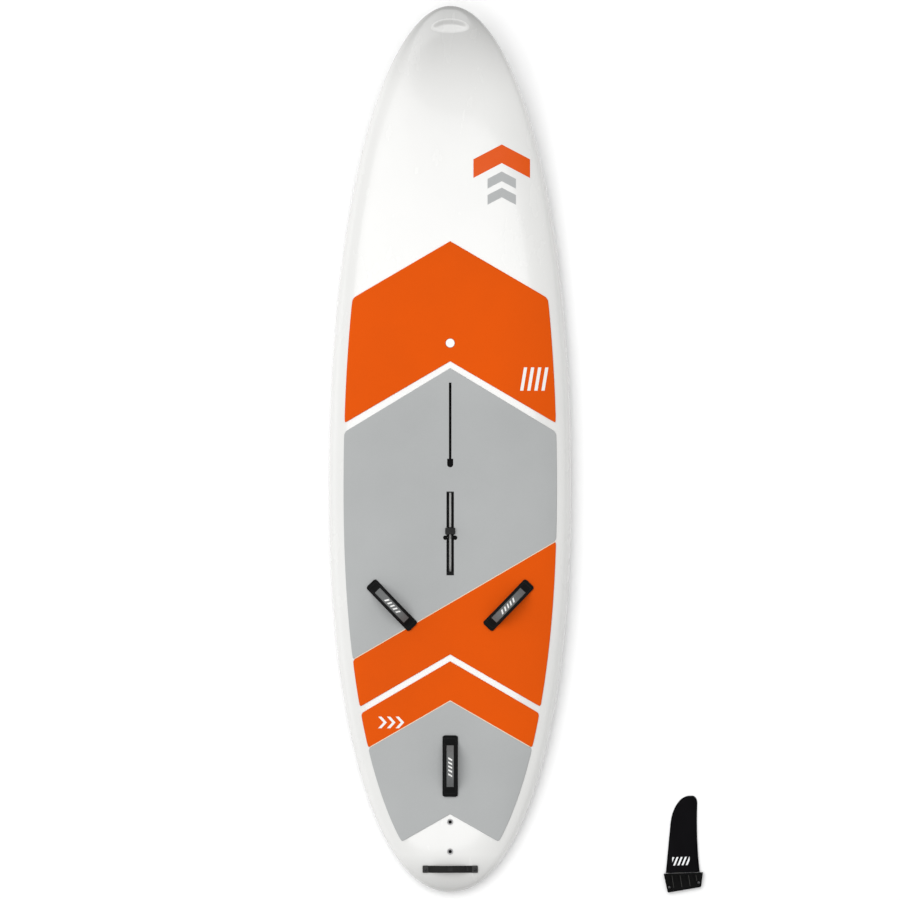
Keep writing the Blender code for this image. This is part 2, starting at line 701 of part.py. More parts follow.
for sign, word in ((1, "front"), (-1, "rear")):
    y = FIN_CENTRE + sign * BOLT_HALF_SPACING
    top = deck_z(0.0, y) - 0.0006
    depth = BASE_LOW_LEFT[1] if sign > 0 else BASE_LOW_RIGHT[1]
    box_top = rocker(FIN_CENTRE) - depth + BOX_WALL
    low = box_top + 0.0045
    bush_profile = [
        (BUSH_FLANGE_R, top), (BUSH_FLANGE_R, top - 0.0025), (BUSH_R, top - 0.0025),
        (BUSH_R, low), (0.0036, low), (0.0036, top - 0.0060), (0.0052, top - 0.0060),
        (0.0052, top),
    ]
    turned(f"bolt_bush_{word}", bush_profile, WHITE, (0.0, y, 0.0))
    cut(deck_skin, disc(f"flange_tool_{word}", 0.0, y, BUSH_FLANGE_R + GAP, top - 0.006, CUT_TOP))
    cut(foam_core, disc(f"bush_tool_{word}", 0.0, y, BUSH_R + GAP, box_top - 0.01, CUT_TOP))
    cut(fin_box, disc(f"box_hole_{word}", 0.0, y, 0.0036, 0.03, CUT_TOP))
    tip = box_top - BOX_WALL - 0.014
    head_low = top - 0.0057
    bolt = turned(
        f"fin_bolt_{word}",
        [(0.0, head_low + 0.0048), (BOLT_HEAD_R, head_low + 0.0048), (BOLT_HEAD_R, head_low),
         (BOLT_R, head_low), (BOLT_R, tip), (0.0, tip)],
        BLACK, (0.0, y, 0.0), sides=20,
    )
    socket = upright(
        f"socket_{word}", circle(0.0026, 6, (0.0, y)), head_low + 0.0018, head_low + 0.02
    )
    cut(bolt, socket)


# ---------------------------------------------------------------- the fin, lying beside the tail
def fin_edges(height):
    """Leading and trailing edge of the fin's blade at a height above its base."""
    return fin_side(FIN_LEAD, LEAD_CORNER, height), fin_side(FIN_TRAIL, TRAIL_CORNER, height)


def fin_side(curve, corner, height):
    """Where one edge passes a height: a cubic curve that turns in to the tip at the top."""
    low, high = 0.0, 1.0
    for _ in range(30):
        t = (low + high) / 2
        a, b, c, d = (1 - t) ** 3, 3 * (1 - t) ** 2 * t, 3 * (1 - t) * t * t, t**3
        if a * curve[0][1] + b * curve[1][1] + c * curve[2][1] + d * curve[3][1] < height:
            low = t
        else:
            high = t
    edge = a * curve[0][0] + b * curve[1][0] + c * curve[2][0] + d * curve[3][0]
    start, power = corner
    share = max(0.0, (height - start) / (FIN_TIP[1] - start))
    return FIN_TIP[0] + (edge - FIN_TIP[0]) * (1.0 - share**power) ** (1.0 / power)


def fin_ring(height):
    lead, trail = fin_edges(height)
    chord = trail - lead
    half = FIN_HALF_THICK * (1.0 - 0.6 * height / FIN_LENGTH)
    shape = [(0.0, 0.0), (0.08, 0.6), (0.35, 1.0), (0.7, 0.6), (1.0, 0.08)]
    upper = [(lead + chord * a, height, half * b) for a, b in shape]
    return upper + [(x, y, -z) for x, y, z in upper[:0:-1]]


fin_empty = bpy.data.objects.new("fin_place", None)
fin_empty.location = (FIN_PLACE[0], FIN_PLACE[1], BASE_HALF + 0.0002)
fin_empty.rotation_euler = (-FIN_TILT, 0.0, FIN_PLACE[2])
bpy.context.scene.collection.objects.link(fin_empty)

base_outline = [(-BASE_TOP, 0.0), BASE_LOW_LEFT, BASE_LOW_RIGHT, (BASE_TOP, 0.0)]
fin_base = extruded(
    "fin_base", [(x, y - 0.0003, -BASE_HALF) for x, y in base_outline], (0, 0, 2 * BASE_HALF), BLACK
)
fin_blade = lofted("fin_blade", [fin_ring(h) for h in FIN_HEIGHTS], CARBON)
fin_base.parent = fin_blade.parent = fin_empty
for sign, word, nut_depth in ((-1, "front", NUT_DEPTHS[0]), (1, "rear", NUT_DEPTHS[1])):
    x, y = sign * BOLT_HALF_SPACING + 0.0010, -nut_depth
    nut = disc(f"fin_nut_{word}", x, y, NUT_R, -NUT_HALF_LENGTH, NUT_HALF_LENGTH, STEEL, sides=16)
    hole = disc(f"nut_hole_{word}", x, y, NUT_R + GAP, -0.02, 0.02, sides=16)
    lane = extruded(
        f"bolt_lane_{word}", [(x + a, -0.08, b) for a, b in circle(0.0034, 12)], (0, 0.056, 0)
    )
    cut(fin_base, hole, lane)
    cut(nut, extruded(
        f"nut_thread_{word}", [(x + a, -0.08, b) for a, b in circle(0.0026, 12)], (0, 0.07, 0)
    ))
    for piece in (nut, hole, lane, bpy.data.objects[f"nut_thread_{word}"]):
        piece.parent = fin_empty
RIB_LEAN = 0.006
for k in range(4):
    x = -0.036 + 0.024 * k
    for side in (-1, 1):
        z = side * BASE_HALF
        groove = extruded(
            f"base_groove_{k}_{side}",
            [(x - 0.007, -0.006, z), (x + 0.007, -0.006, z), (x + 0.007 + RIB_LEAN, -0.026, z),
             (x - 0.007 + RIB_LEAN, -0.026, z)],
            (0, 0, -side * 0.003),
        )
        groove.data.transform(Matrix.Translation((0, 0, side * 0.001)))
        groove.parent = fin_empty
        cut(fin_base, groove)


# ---------------------------------------------------------------- footstraps
def arch(s, shape, foot):
    """Height of a strap's middle line above the deck, at s along it."""
    crown, span, power, bell = shape
    share = min(abs(s) / span, 1.0)
    return foot + crown * (1.0 - share**power) ** bell


def arch_point(s, offset, shape, foot):
    """(s, height) of a line parallel to the strap's middle line."""
    step = 0.0005
    rise = (arch(s + step, shape, foot) - arch(s - step, shape, foot)) / (2 * step)
    length = math.hypot(1.0, rise)
    return s - offset * rise / length, arch(s, shape, foot) + offset / length


def strap_loft(name, place, points, half, mat, shape=STRAP_ARCH, surface=pad_z, foot=STRAP_FOOT_Z):
    """A band over an arch: for each (s, lower offset, upper offset), draped on the deck."""
    (cx, cy), degrees = place
    along = Vector((math.cos(math.radians(degrees)), math.sin(math.radians(degrees))))
    side = Vector((-along.y, along.x))
    rings = []
    for s, low, high in points:
        ring = []
        for t, offset in ((-half, low), (half, low), (half, high), (-half, high)):
            reach, height = arch_point(s, offset, shape, foot)
            spot = Vector((cx, cy)) + along * reach + side * t
            ring.append((spot.x, spot.y, surface(spot.x, spot.y) + height))
        rings.append(ring)
    return lofted(name, rings, mat)


def both_ways(values):
    return [-v for v in reversed(values)] + [0.0] + list(values)


ARCH_STOPS = (0.018, 0.032, 0.043, 0.052, 0.060, 0.067, 0.073, 0.080)
WEB_END, TUNNEL_END = 0.0915, 0.0922
SCREW_PROFILE = [(0.0, 0.0026), (0.0050, 0.0022), (0.0055, 0.0), (0.0022, 0.0), (0.0022, -0.0165),
                 (0.0, -0.0180)]
INSERT_PROFILE = [(0.0, -0.0240), (0.0080, -0.0240), (0.0080, 0.0), (0.0028, 0.0),
                  (0.0028, -0.0200), (0.0, -0.0200)]


def tilted(obj, normal, place):
    """Stands a turned piece at a point, square to the deck's surface there."""
    turn = normal.to_track_quat("Z", "Y").to_matrix().to_4x4()
    obj.matrix_world = Matrix.Translation(place) @ turn
    return obj


def drop_to_web(s):
    """How far the webbing lies below the sleeve's middle line: it drops to the deck at the feet."""
    share = max(0.0, min(1.0, (abs(s) - 0.067) / 0.010))
    return 0.0040 * share * share * (3 - 2 * share)


STRAP_PADS = {
    "strap_left": (pad_middle_grey, pad_middle_orange),  # it stands across their joint
    "strap_right": (pad_middle_orange,),
    "strap_rear": (pad_rear_grey,),
}


def footstrap(name, centre, degrees, half):
    place = (centre, degrees)
    stops = both_ways((*ARCH_STOPS, STRAP_HALF_LENGTH))
    thick = SLEEVE_HALF_THICK
    sleeve = strap_loft(f"{name}_sleeve", place, [(s, -thick, thick) for s in stops], half, FABRIC)
    tunnel = []
    for s in both_ways((*ARCH_STOPS, TUNNEL_END)):
        open_foot = abs(s) > 0.0665
        low, high = (-thick - 0.004, 0.0028) if open_foot else (-0.0016, 0.0016)
        tunnel.append((s, low, high))
    cut(sleeve, strap_loft(f"{name}_tunnel", place, tunnel, 0.0140, FABRIC))
    web = [
        (s, -WEB_HALF_THICK - drop_to_web(s), WEB_HALF_THICK - drop_to_web(s))
        for s in both_ways((*ARCH_STOPS, WEB_END))
    ]
    webbing = strap_loft(f"{name}_webbing", place, web, WEB_HALF_WIDTH, FABRIC)
    label = [(s, thick + GAP, thick + 0.0012) for s in both_ways((0.018, 0.032, 0.043, 0.052, 0.0595))]
    strap_loft(f"{name}_label", place, label, 0.0105, LABEL)
    along = Vector((math.cos(math.radians(degrees)), math.sin(math.radians(degrees))))
    for sign, word in ((-1, "a"), (1, "b")):
        spot = Vector(centre) + along * sign * STRAP_SCREW
        x, y = spot.x, spot.y
        normal = deck_normal(x, y)
        surface = Vector((x, y, deck_z(x, y)))
        head = surface + normal * (PAD_TOP + STRAP_FOOT_Z - 0.0040 + WEB_HALF_THICK + 2 * GAP)
        seat = surface - normal * 0.0016
        tilted(turned(f"{name}_screw_{word}", SCREW_PROFILE, STEEL, (0, 0, 0), 12), normal, head)
        tilted(turned(f"{name}_insert_{word}", INSERT_PROFILE, BLACK, (0, 0, 0), 12), normal, seat)
        shaft = disc(f"{name}_shaft_{word}", 0, 0, 0.0029, -0.030, 0.020, sides=12)
        tilted(shaft, normal, head)
        plug = disc(f"{name}_plug_{word}", 0, 0, 0.0085, -0.0243, 0.0100, sides=12)
        tilted(plug, normal, seat)
        cut(webbing, shaft)
        for under in STRAP_PADS[name]:
            cut(under, shaft)
        cut(deck_skin, plug)
        cut(foam_core, plug)


for strap_name, (strap_centre, strap_turn, strap_half) in STRAPS.items():
    footstrap(strap_name, strap_centre, strap_turn, strap_half)


# ---------------------------------------------------------------- vent plug
vent_top = deck_z(0.0, VENT_Y)
vent_seat = vent_top - 0.0006
turned(
    "vent_insert",
    [(0.0155, vent_seat), (0.0155, vent_seat - 0.0025), (0.0110, vent_seat - 0.0025),
     (0.0110, vent_seat - 0.0200), (0.0066, vent_seat - 0.0200), (0.0066, vent_seat - 0.0016),
     (0.0098, vent_seat - 0.0016), (0.0098, vent_seat)],
    BLACK, (0.0, VENT_Y, 0.0),
)
turned(
    "vent_seal",
    [(0.0094, vent_seat - 0.0001), (0.0094, vent_seat - 0.0013), (0.0071, vent_seat - 0.0013),
     (0.0071, vent_seat - 0.0001)],
    RUBBER, (0.0, VENT_Y, 0.0),
)
vent_head = vent_seat + GAP
vent_plug = turned(
    "vent_plug",
    [(0.0, vent_head + 0.0038), (VENT_R - 0.0010, vent_head + 0.0038),
     (VENT_R, vent_head + 0.0028), (VENT_R, vent_head), (0.0061, vent_head),
     (0.0061, vent_head - 0.0125), (0.0, vent_head - 0.0125)],
    WHITE, (0.0, VENT_Y, 0.0),
)
coin_slot = block(
    "coin_slot", (-0.0095, VENT_Y - 0.0010, vent_head + 0.0022), (0.0095, VENT_Y + 0.0010, CUT_TOP)
)
cut(vent_plug, coin_slot)
cut(deck_skin, disc("vent_hole", 0.0, VENT_Y, 0.0158, vent_top - 0.02, CUT_TOP))
cut(foam_core, disc("vent_pocket", 0.0, VENT_Y, 0.0113, vent_top - 0.0300, CUT_TOP))
cut(pad_front, disc("vent_room", 0.0, VENT_Y, VENT_R + 0.0005, vent_top - 0.02, CUT_TOP, sides=28))


# ---------------------------------------------------------------- tail handle
handle_place = ((0.0, HANDLE_Y), 0.0)
handle_stops = both_ways((0.014, 0.028, 0.040, 0.050, 0.058, 0.066, 0.0855))
grip_points = []
for s in handle_stops:
    thick = 0.0034 if abs(s) < 0.045 else 0.0017
    grip_points.append((s, -thick, thick))
handle_grip = strap_loft(
    "handle_grip", handle_place, grip_points, HANDLE_HALF_WIDTH, FABRIC, HANDLE_ARCH, deck_z,
    HANDLE_FOOT,
)
block_half, block_side, block_foot, block_height = HANDLE_BLOCK
block_low = deck_z(0.0, HANDLE_Y) - block_foot
block_high = block_low + block_height
handle_block = block(
    "handle_block",
    (-block_half, HANDLE_Y - block_side, block_low),
    (block_half, HANDLE_Y + block_side, block_high),
    FOAM,
)
cut(foam_core, block(
    "block_pocket",
    (-block_half - GAP, HANDLE_Y - block_side - GAP, block_low - GAP),
    (block_half + GAP, HANDLE_Y + block_side + GAP, block_high + GAP),
))
for sign, word in ((-1, "left"), (1, "right")):
    plate_points = [(sign * s, 0.0022, 0.0050) for s in HANDLE_PLATE]
    plate = strap_loft(
        f"handle_plate_{word}", handle_place, plate_points, HANDLE_HALF_WIDTH, BLACK,
        (0.0, *HANDLE_ARCH[1:]), deck_z, HANDLE_FOOT,
    )
    x = sign * HANDLE_SCREW
    normal = deck_normal(x, HANDLE_Y)
    head = Vector((x, HANDLE_Y, deck_z(x, HANDLE_Y))) + normal * (HANDLE_FOOT + 0.0056)
    tilted(turned(
        f"handle_screw_{word}",
        [(0.0, 0.0022), (0.0042, 0.0018), (0.0048, 0.0), (0.0021, 0.0), (0.0021, -0.030),
         (0.0, -0.032)],
        STEEL, (0, 0, 0), 12,
    ), normal, head)
    lane = tilted(
        disc(f"handle_lane_{word}", 0, 0, 0.0027, -0.040, 0.02, sides=12), normal, head
    )
    for piece in (plate, handle_grip, deck_skin, foam_core, handle_block):
        cut(piece, lane)


# ---------------------------------------------------------------- nose scoop
def scoop_outline(grow):
    """A lens: a bowed front edge and a flatter rear edge."""
    rear, front = SCOOP_Y[0] - grow, SCOOP_Y[1] + grow
    half = SCOOP_HALF + 1.5 * grow
    waist = rear + 0.35 * (front - rear)
    steps = [math.pi * k / 10 for k in range(11)]
    bow = [(half * math.cos(a), waist + (front - waist) * math.sin(a)) for a in steps]
    flat_back = [(-half * math.cos(a), waist - (waist - rear) * math.sin(a)) for a in steps[1:-1]]
    return bow + flat_back


scoop_floor = deck_z(0.0, sum(SCOOP_Y) / 2) - SCOOP_DEPTH
bowl = upright("scoop_bowl", scoop_outline(0.003), scoop_floor - 0.003, CUT_TOP)
boolean(bowl, hull_solid("hull_guide", 0.0012, WHITE), "INTERSECT")
boolean(deck_skin, bowl, "UNION")
cut(deck_skin, upright("scoop_tool", scoop_outline(0.0), scoop_floor, CUT_TOP))
cut(foam_core, upright("scoop_pocket", scoop_outline(0.0034), scoop_floor - 0.0034, CUT_TOP))
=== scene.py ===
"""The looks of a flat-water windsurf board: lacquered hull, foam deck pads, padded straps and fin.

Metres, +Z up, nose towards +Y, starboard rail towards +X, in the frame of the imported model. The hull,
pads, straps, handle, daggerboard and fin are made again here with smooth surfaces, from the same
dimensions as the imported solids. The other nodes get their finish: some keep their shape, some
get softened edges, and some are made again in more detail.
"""

import math

import bmesh
import bpy
import numpy as np
from mathutils import Matrix, Vector, noise


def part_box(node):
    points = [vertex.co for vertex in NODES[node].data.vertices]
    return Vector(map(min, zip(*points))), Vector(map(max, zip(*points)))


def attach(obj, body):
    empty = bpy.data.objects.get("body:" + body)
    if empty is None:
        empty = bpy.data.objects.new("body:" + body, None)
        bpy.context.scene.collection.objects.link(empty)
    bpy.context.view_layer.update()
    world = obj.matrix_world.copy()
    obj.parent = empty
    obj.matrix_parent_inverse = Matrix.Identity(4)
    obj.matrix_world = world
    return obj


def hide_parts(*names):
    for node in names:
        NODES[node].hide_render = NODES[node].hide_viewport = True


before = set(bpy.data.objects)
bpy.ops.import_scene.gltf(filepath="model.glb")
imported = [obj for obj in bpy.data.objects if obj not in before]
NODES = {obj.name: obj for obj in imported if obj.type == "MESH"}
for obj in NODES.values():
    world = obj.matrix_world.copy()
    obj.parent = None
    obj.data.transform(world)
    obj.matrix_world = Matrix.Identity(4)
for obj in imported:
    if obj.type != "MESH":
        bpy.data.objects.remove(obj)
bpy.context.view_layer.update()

# ---- Hull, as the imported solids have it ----
LENGTH = 2.75
HALF_LENGTH = LENGTH / 2
HALF_WIDTH = 0.376
WIDE_POINT = -0.12
NOSE_OUTLINE = (2.13, 1.965)
TAIL_OUTLINE = (2.19, 2.11)
THICKNESS = 0.146
THICK_POINT = -0.15
NOSE_THINNING = (0.60, 2.2)
TAIL_THINNING = (0.55, 2.6)
NOSE_ROCKER = (0.35, 0.19, 2.3)
TAIL_ROCKER = (-0.95, 0.014, 2.0)
RAIL_SHARE = 0.38
DECK_EXPONENT = 3.2
RAIL_TUCK = 0.10
TIP_START = 1.0
SKIN = 0.004
GAP = 0.0003
STATIONS = 132

# ---- Deck pads: height of each edge at the centreline and at the side ----
PAD_GAP, PAD_TOP, PAD_INSET = 0.0005, 0.0035, 0.045
PAD_ROUND, PAD_CORNER = 0.0014, 0.009
CHEVRONS = {
    "front_top": (0.646, 0.469),
    "front_low": (0.273, 0.081),
    "middle_top": (0.252, 0.053),
    "middle_low": (-0.637, -0.800),
    "rear_top": (-0.658, -0.820),
    "rear_split": (-0.781, -0.928),
    "rear_low": (-1.133, -1.219),
}
SPLIT_RIGHT, SPLIT_LEFT = (0.3325, -0.283), (-0.301, -0.6525)
SPLIT_HALF = 0.0008

# ---- Fittings ----
TRACK_SLOT, TRACK_CHANNEL = 0.004, 0.0094
TRACK_FRONT, TRACK_NECK, TRACK_REAR = 0.207, -0.0294, -0.0561
PIVOT = Vector((0.0, -0.2745, 0.13959))
CASE_HALF = 0.0113
RIM_FRONT, RIM_REAR, CASE_REAR = 0.143, -0.1165, -0.533
SEAT_X, SEAT_R = 0.0154, 0.0065
VENT_Y, VENT_R = 0.3295, 0.0142
FIN_CENTRE, BOLT_HALF_SPACING = -1.2035, 0.046
SCOOP_Y, SCOOP_HALF, SCOOP_DEPTH = (1.2925, 1.333), 0.056, 0.0115

# ---- Straps and handle: crown height, half-span and two exponents of the arch ----
STRAP_ARCH, STRAP_FOOT, STRAP_END = (0.0560, 0.080, 3.2, 2.2), 0.0058, 0.0935
STRAP_THICK = 0.0050
STRAP_SCREW = 0.0862
PADDING_PAST_END, PADDING_PAST_SIDE = 0.0020, 0.0012
SEAM_IN = 0.0046   # from a strap's side to its sewn channel
SECTION, SECTION_SIDE, SECTION_FACE = 36, 0.42, 0.62  # points round a section, two exponents
STRAPS = {
    "strap_left": ((-0.181, -0.484), -46.0, 0.0195),
    "strap_right": ((0.181, -0.484), 226.0, 0.0195),
    "strap_rear": ((0.0, -0.9835), -90.0, 0.0228),
}
HANDLE_Y, HANDLE_SCREW_X = -1.3045, 0.0765
HANDLE_ARCH, HANDLE_FOOT = (0.022, 0.066, 3.0, 2.0), 0.0024

# ---- Fin ----
FIN_PLACE = (0.7247, -1.3172, 0.0092)
FIN_TURN, FIN_TILT = math.radians(2.06), math.radians(1.65)
FIN_LEAD = ((-0.0545, 0.0), (-0.0450, 0.0733), (-0.0354, 0.1467), (-0.0259, 0.2200))
FIN_TRAIL = ((0.0512, 0.0), (0.0462, 0.0600), (0.0450, 0.1300), (0.0514, 0.2160))
FIN_TIP = (0.0330, 0.2395)
LEAD_CORNER, TRAIL_CORNER = (0.150, 2.3), (0.213, 2.4)  # where each edge turns in, exponent
BASE_TOP, BASE_LEFT, BASE_RIGHT, BASE_HALF = 0.061, (-0.0505, -0.0592), (0.0535, -0.0455), 0.0090
FIN_NUTS = {
    "front": (0.0010 - BOLT_HALF_SPACING, -0.0430),
    "rear": (0.0010 + BOLT_HALF_SPACING, -0.0320),
}
FIN_RIBS = ((-0.0356, -0.045), (-0.0102, -0.044), (0.0157, -0.042), (0.0390, -0.027))

# ---- Light and camera ----
LOW_SKY, HIGH_SKY = (0.08, 1.55), (0.58, 0.40)  # from the right side to the left side
KEY_LEVEL, KEY_SPREAD, KEY_FROM = 2.10, 54.0, (-0.16, 0.14, 1.0)
LENS, SENSOR, FIELD, FIELD_LEVEL = 1000.0, 36.0, 2.7963, 0.06


# ---------------------------------------------------------------- materials
class Look:
    """A Principled material whose colour, roughness and relief come from procedural nodes."""

    def __init__(self, name, roughness, **sockets):
        self.material = bpy.data.materials.new(name)
        self.material.use_nodes = True
        self.tree = self.material.node_tree
        self.shader = self.tree.nodes["Principled BSDF"]
        self.shader.inputs["Roughness"].default_value = roughness
        for label, value in sockets.items():
            self.shader.inputs[label.replace("_", " ")].default_value = value
        self.place = self.node("ShaderNodeTexCoord").outputs["Object"]
        self.relief = None

    def node(self, kind, **values):
        made = self.tree.nodes.new(kind)
        for key, value in values.items():
            if hasattr(made, key):
                setattr(made, key, value)
            else:
                self.feed(made.inputs[key.replace("_", " ")], value)
        return made

    def feed(self, socket, value):
        if isinstance(value, bpy.types.NodeSocket):
            self.tree.links.new(value, socket)
        else:
            socket.default_value = value

    def math(self, operation, a, b=0.0):
        made = self.node("ShaderNodeMath", operation=operation)
        self.feed(made.inputs[0], a)
        self.feed(made.inputs[1], b)
        return made.outputs[0]

    def spot(self, scale=(1.0, 1.0, 1.0), turn=(0.0, 0.0, 0.0), shift=(0.0, 0.0, 0.0)):
        made = self.node("ShaderNodeMapping", Vector=self.place)
        made.inputs["Location"].default_value = shift
        made.inputs["Rotation"].default_value = turn
        made.inputs["Scale"].default_value = scale
        return made.outputs[0]

    def noise(self, scale, detail=3.0, where=None):
        made = self.node("ShaderNodeTexNoise", Vector=where or self.place, Scale=scale)
        made.inputs["Detail"].default_value = detail
        return made.outputs["Fac"]

    def cells(self, scale):
        made = self.node("ShaderNodeTexVoronoi", Vector=self.place, Scale=scale)
        return made.outputs["Distance"]

    def bands(self, scale, direction="X", where=None):
        made = self.node(
            "ShaderNodeTexWave", bands_direction=direction, Vector=where or self.place, Scale=scale
        )
        return made.outputs["Fac"]

    def remap(self, value, low, high, to_low=0.0, to_high=1.0):
        made = self.node("ShaderNodeMapRange", Value=value)
        for label, number in (
            ("From Min", low), ("From Max", high), ("To Min", to_low), ("To Max", to_high)
        ):
            made.inputs[label].default_value = number
        return made.outputs[0]

    def blend(self, factor, a, b):
        made = self.node("ShaderNodeMix", data_type="RGBA")
        self.feed(made.inputs["Factor"], factor)
        for socket, value in ((made.inputs[6], a), (made.inputs[7], b)):
            self.feed(socket, (*value, 1.0) if isinstance(value, tuple) else value)
        return made.outputs[2]

    def shades(self, colour, value, low, high, first, last):
        """One colour at two strengths, mixed by where a value lies between low and high."""
        return self.blend(self.remap(value, low, high), scaled(colour, first), scaled(colour, last))

    def colour(self, value):
        self.feed(self.shader.inputs["Base Color"], value)

    def rough(self, value, low, high, to_low, to_high):
        self.feed(self.shader.inputs["Roughness"], self.remap(value, low, high, to_low, to_high))

    def bump(self, height, distance, strength=1.0):
        """Adds relief: distance is how tall the height's full range is, in metres."""
        made = self.node("ShaderNodeBump", Height=height)
        made.inputs["Strength"].default_value = strength
        made.inputs["Distance"].default_value = distance
        if self.relief is not None:
            self.tree.links.new(self.relief, made.inputs["Normal"])
        self.relief = made.outputs[0]
        self.feed(self.shader.inputs["Normal"], self.relief)

    def box_mask(self, vector, half_x, half_y):
        """1 inside a rectangle about a mapped origin, 0 outside."""
        axes = self.node("ShaderNodeSeparateXYZ", Vector=vector).outputs
        across = self.math("LESS_THAN", self.math("ABSOLUTE", axes[0]), half_x)
        along = self.math("LESS_THAN", self.math("ABSOLUTE", axes[1]), half_y)
        return self.math("MULTIPLY", across, along)


def scaled(colour, factor):
    return tuple(c * factor for c in colour)


def lacquer(name, colour, nose_painted_shade=0.0, tail_painted_shade=0.0):
    """Sprayed gloss lacquer, clouded a little, with orange peel, scuffs and painted shade that greys
    the nose and tail tips.
    """
    look = Look(name, 0.2, Coat_Weight=0.35, Coat_Roughness=0.08)
    cloud = look.noise(2.6, 4.0)
    white = look.shades(colour, cloud, 0.3, 0.7, 0.965, 1.0)
    # Painted shade: the colour darkens towards the nose tip and the tail tip, by the amounts given,
    # standing in for shade there.
    along = look.node("ShaderNodeSeparateXYZ", Vector=look.place).outputs["Y"]
    nose = look.math("POWER", look.remap(along, 1.06, 1.37), 1.8)
    tail = look.remap(along, -1.26, -1.375)
    grey = look.math("ADD", look.math("MULTIPLY", nose, nose_painted_shade),
                     look.math("MULTIPLY", tail, tail_painted_shade))
    look.colour(look.blend(grey, white, scaled(colour, 0.3)))
    scuff = look.noise(6.0, 8.0, look.spot(scale=(3.0, 1.0, 2.0)))
    look.rough(scuff, 0.42, 0.7, 0.24, 0.29)
    look.bump(look.noise(260.0, 1.0), 0.00008, 0.25)
    return look.material


def foam_sheet(name, colour):
    """Closed-cell foam deck pad with a fine embossed diamond grain."""
    look = Look(name, 0.85, Specular_IOR_Level=0.05)
    grain = look.noise(900.0, 2.0)
    cloud = look.noise(3.2, 4.0)
    shade = look.math("ADD", look.math("MULTIPLY", grain, 0.5), look.math("MULTIPLY", cloud, 0.5))
    look.colour(look.shades(colour, shade, 0.35, 0.65, 0.93, 1.05))
    left = look.bands(115.0, "X", look.spot(turn=(0.0, 0.0, 1.0)))
    right = look.bands(115.0, "X", look.spot(turn=(0.0, 0.0, -1.0)))
    look.bump(look.math("MINIMUM", left, right), 0.00030, 0.55)
    look.bump(grain, 0.00010, 0.5)
    look.rough(cloud, 0.3, 0.7, 0.78, 0.92)
    return look.material


def moulded(name, colour, low=0.38, high=0.52, grain=520.0, shine=0.05):
    """Injection-moulded plastic with a fine spark-eroded grain."""
    look = Look(name, 0.45, Specular_IOR_Level=shine)
    cloud = look.noise(14.0, 4.0)
    look.colour(look.shades(colour, cloud, 0.3, 0.7, 0.85, 1.2))
    look.rough(cloud, 0.3, 0.7, low, high)
    look.bump(look.cells(grain), 0.00012, 0.5)
    return look.material


def rubber(name, colour):
    look = Look(name, 0.7, Specular_IOR_Level=0.05)
    cloud = look.noise(30.0, 5.0)
    look.colour(look.shades(colour, cloud, 0.3, 0.7, 0.8, 1.35))
    look.rough(cloud, 0.3, 0.7, 0.6, 0.8)
    look.bump(look.noise(420.0, 3.0), 0.00014, 0.6)
    return look.material


def metal(name, colour):
    """Turned stainless steel with a fine noise in its roughness and relief, and faint staining."""
    look = Look(name, 0.28, Metallic=1.0)
    stain = look.noise(90.0, 4.0)
    look.colour(look.shades(colour, stain, 0.35, 0.7, 1.0, 0.78))
    look.rough(look.noise(800.0, 2.0), 0.3, 0.7, 0.2, 0.38)
    look.bump(look.noise(1500.0, 1.0), 0.00003, 0.4)
    return look.material


def composite(name, colour):
    """Painted grey composite, with a fleck and a lengthwise sanding grain."""
    look = Look(name, 0.35, Coat_Weight=0.2, Coat_Roughness=0.2)
    fleck = look.noise(340.0, 2.0)
    look.colour(look.shades(colour, fleck, 0.4, 0.62, 0.9, 1.08))
    sanding = look.noise(60.0, 5.0, look.spot(scale=(1.0, 0.2, 9.0)))
    look.rough(sanding, 0.35, 0.65, 0.28, 0.45)
    look.bump(sanding, 0.00005, 0.4)
    return look.material


def woven(name, colour, pitch, lift=0.00022, turn=0.0):
    """Plain weave: warp and weft crossing at the pitch given, in metres."""
    look = Look(name, 0.88, Specular_IOR_Level=0.05, Sheen_Weight=0.01)
    scale = 0.314 / pitch
    where = look.spot(turn=(0.0, 0.0, turn))
    warp = look.bands(scale, "X", where)
    weft = look.bands(scale, "Y", where)
    weave = look.math("MULTIPLY", warp, weft)
    fuzz = look.noise(700.0, 3.0)
    look.colour(look.blend(
        look.math("MULTIPLY", weave, fuzz), scaled(colour, 0.75), scaled(colour, 1.7)
    ))
    look.bump(weave, lift, 0.8)
    look.bump(fuzz, 0.0001, 0.5)
    return look.material


def bead_foam(name, colour):
    look = Look(name, 0.9)
    cell = look.cells(240.0)
    look.colour(look.shades(colour, cell, 0.2, 0.7, 1.0, 0.8))
    look.bump(cell, 0.0006, 0.5)
    return look.material


def fin_gloss(name, colour):
    """Polished black moulding with a generic pale stripe mark near the root."""
    look = Look(name, 0.16, Specular_IOR_Level=0.012)
    flow = look.noise(18.0, 5.0, look.spot(scale=(1.0, 0.35, 1.0)))
    base = look.shades(colour, flow, 0.35, 0.7, 1.0, 1.6)
    axes = look.node("ShaderNodeSeparateXYZ", Vector=look.place).outputs
    skewed = look.math("ADD", axes[0], look.math("MULTIPLY", axes[1], -0.45))
    stripes = look.math("PINGPONG", look.math("ADD", skewed, 0.5), 0.0065)
    ink = look.math("GREATER_THAN", stripes, 0.0035)
    window = look.box_mask(look.spot(shift=(0.006, -0.037, 0.0)), 0.027, 0.013)
    look.colour(look.blend(look.math("MULTIPLY", ink, window), base, (0.78, 0.79, 0.80)))
    look.rough(look.noise(120.0, 6.0), 0.35, 0.7, 0.09, 0.24)
    look.bump(look.noise(35.0, 2.0), 0.0002, 0.12)
    return look.material


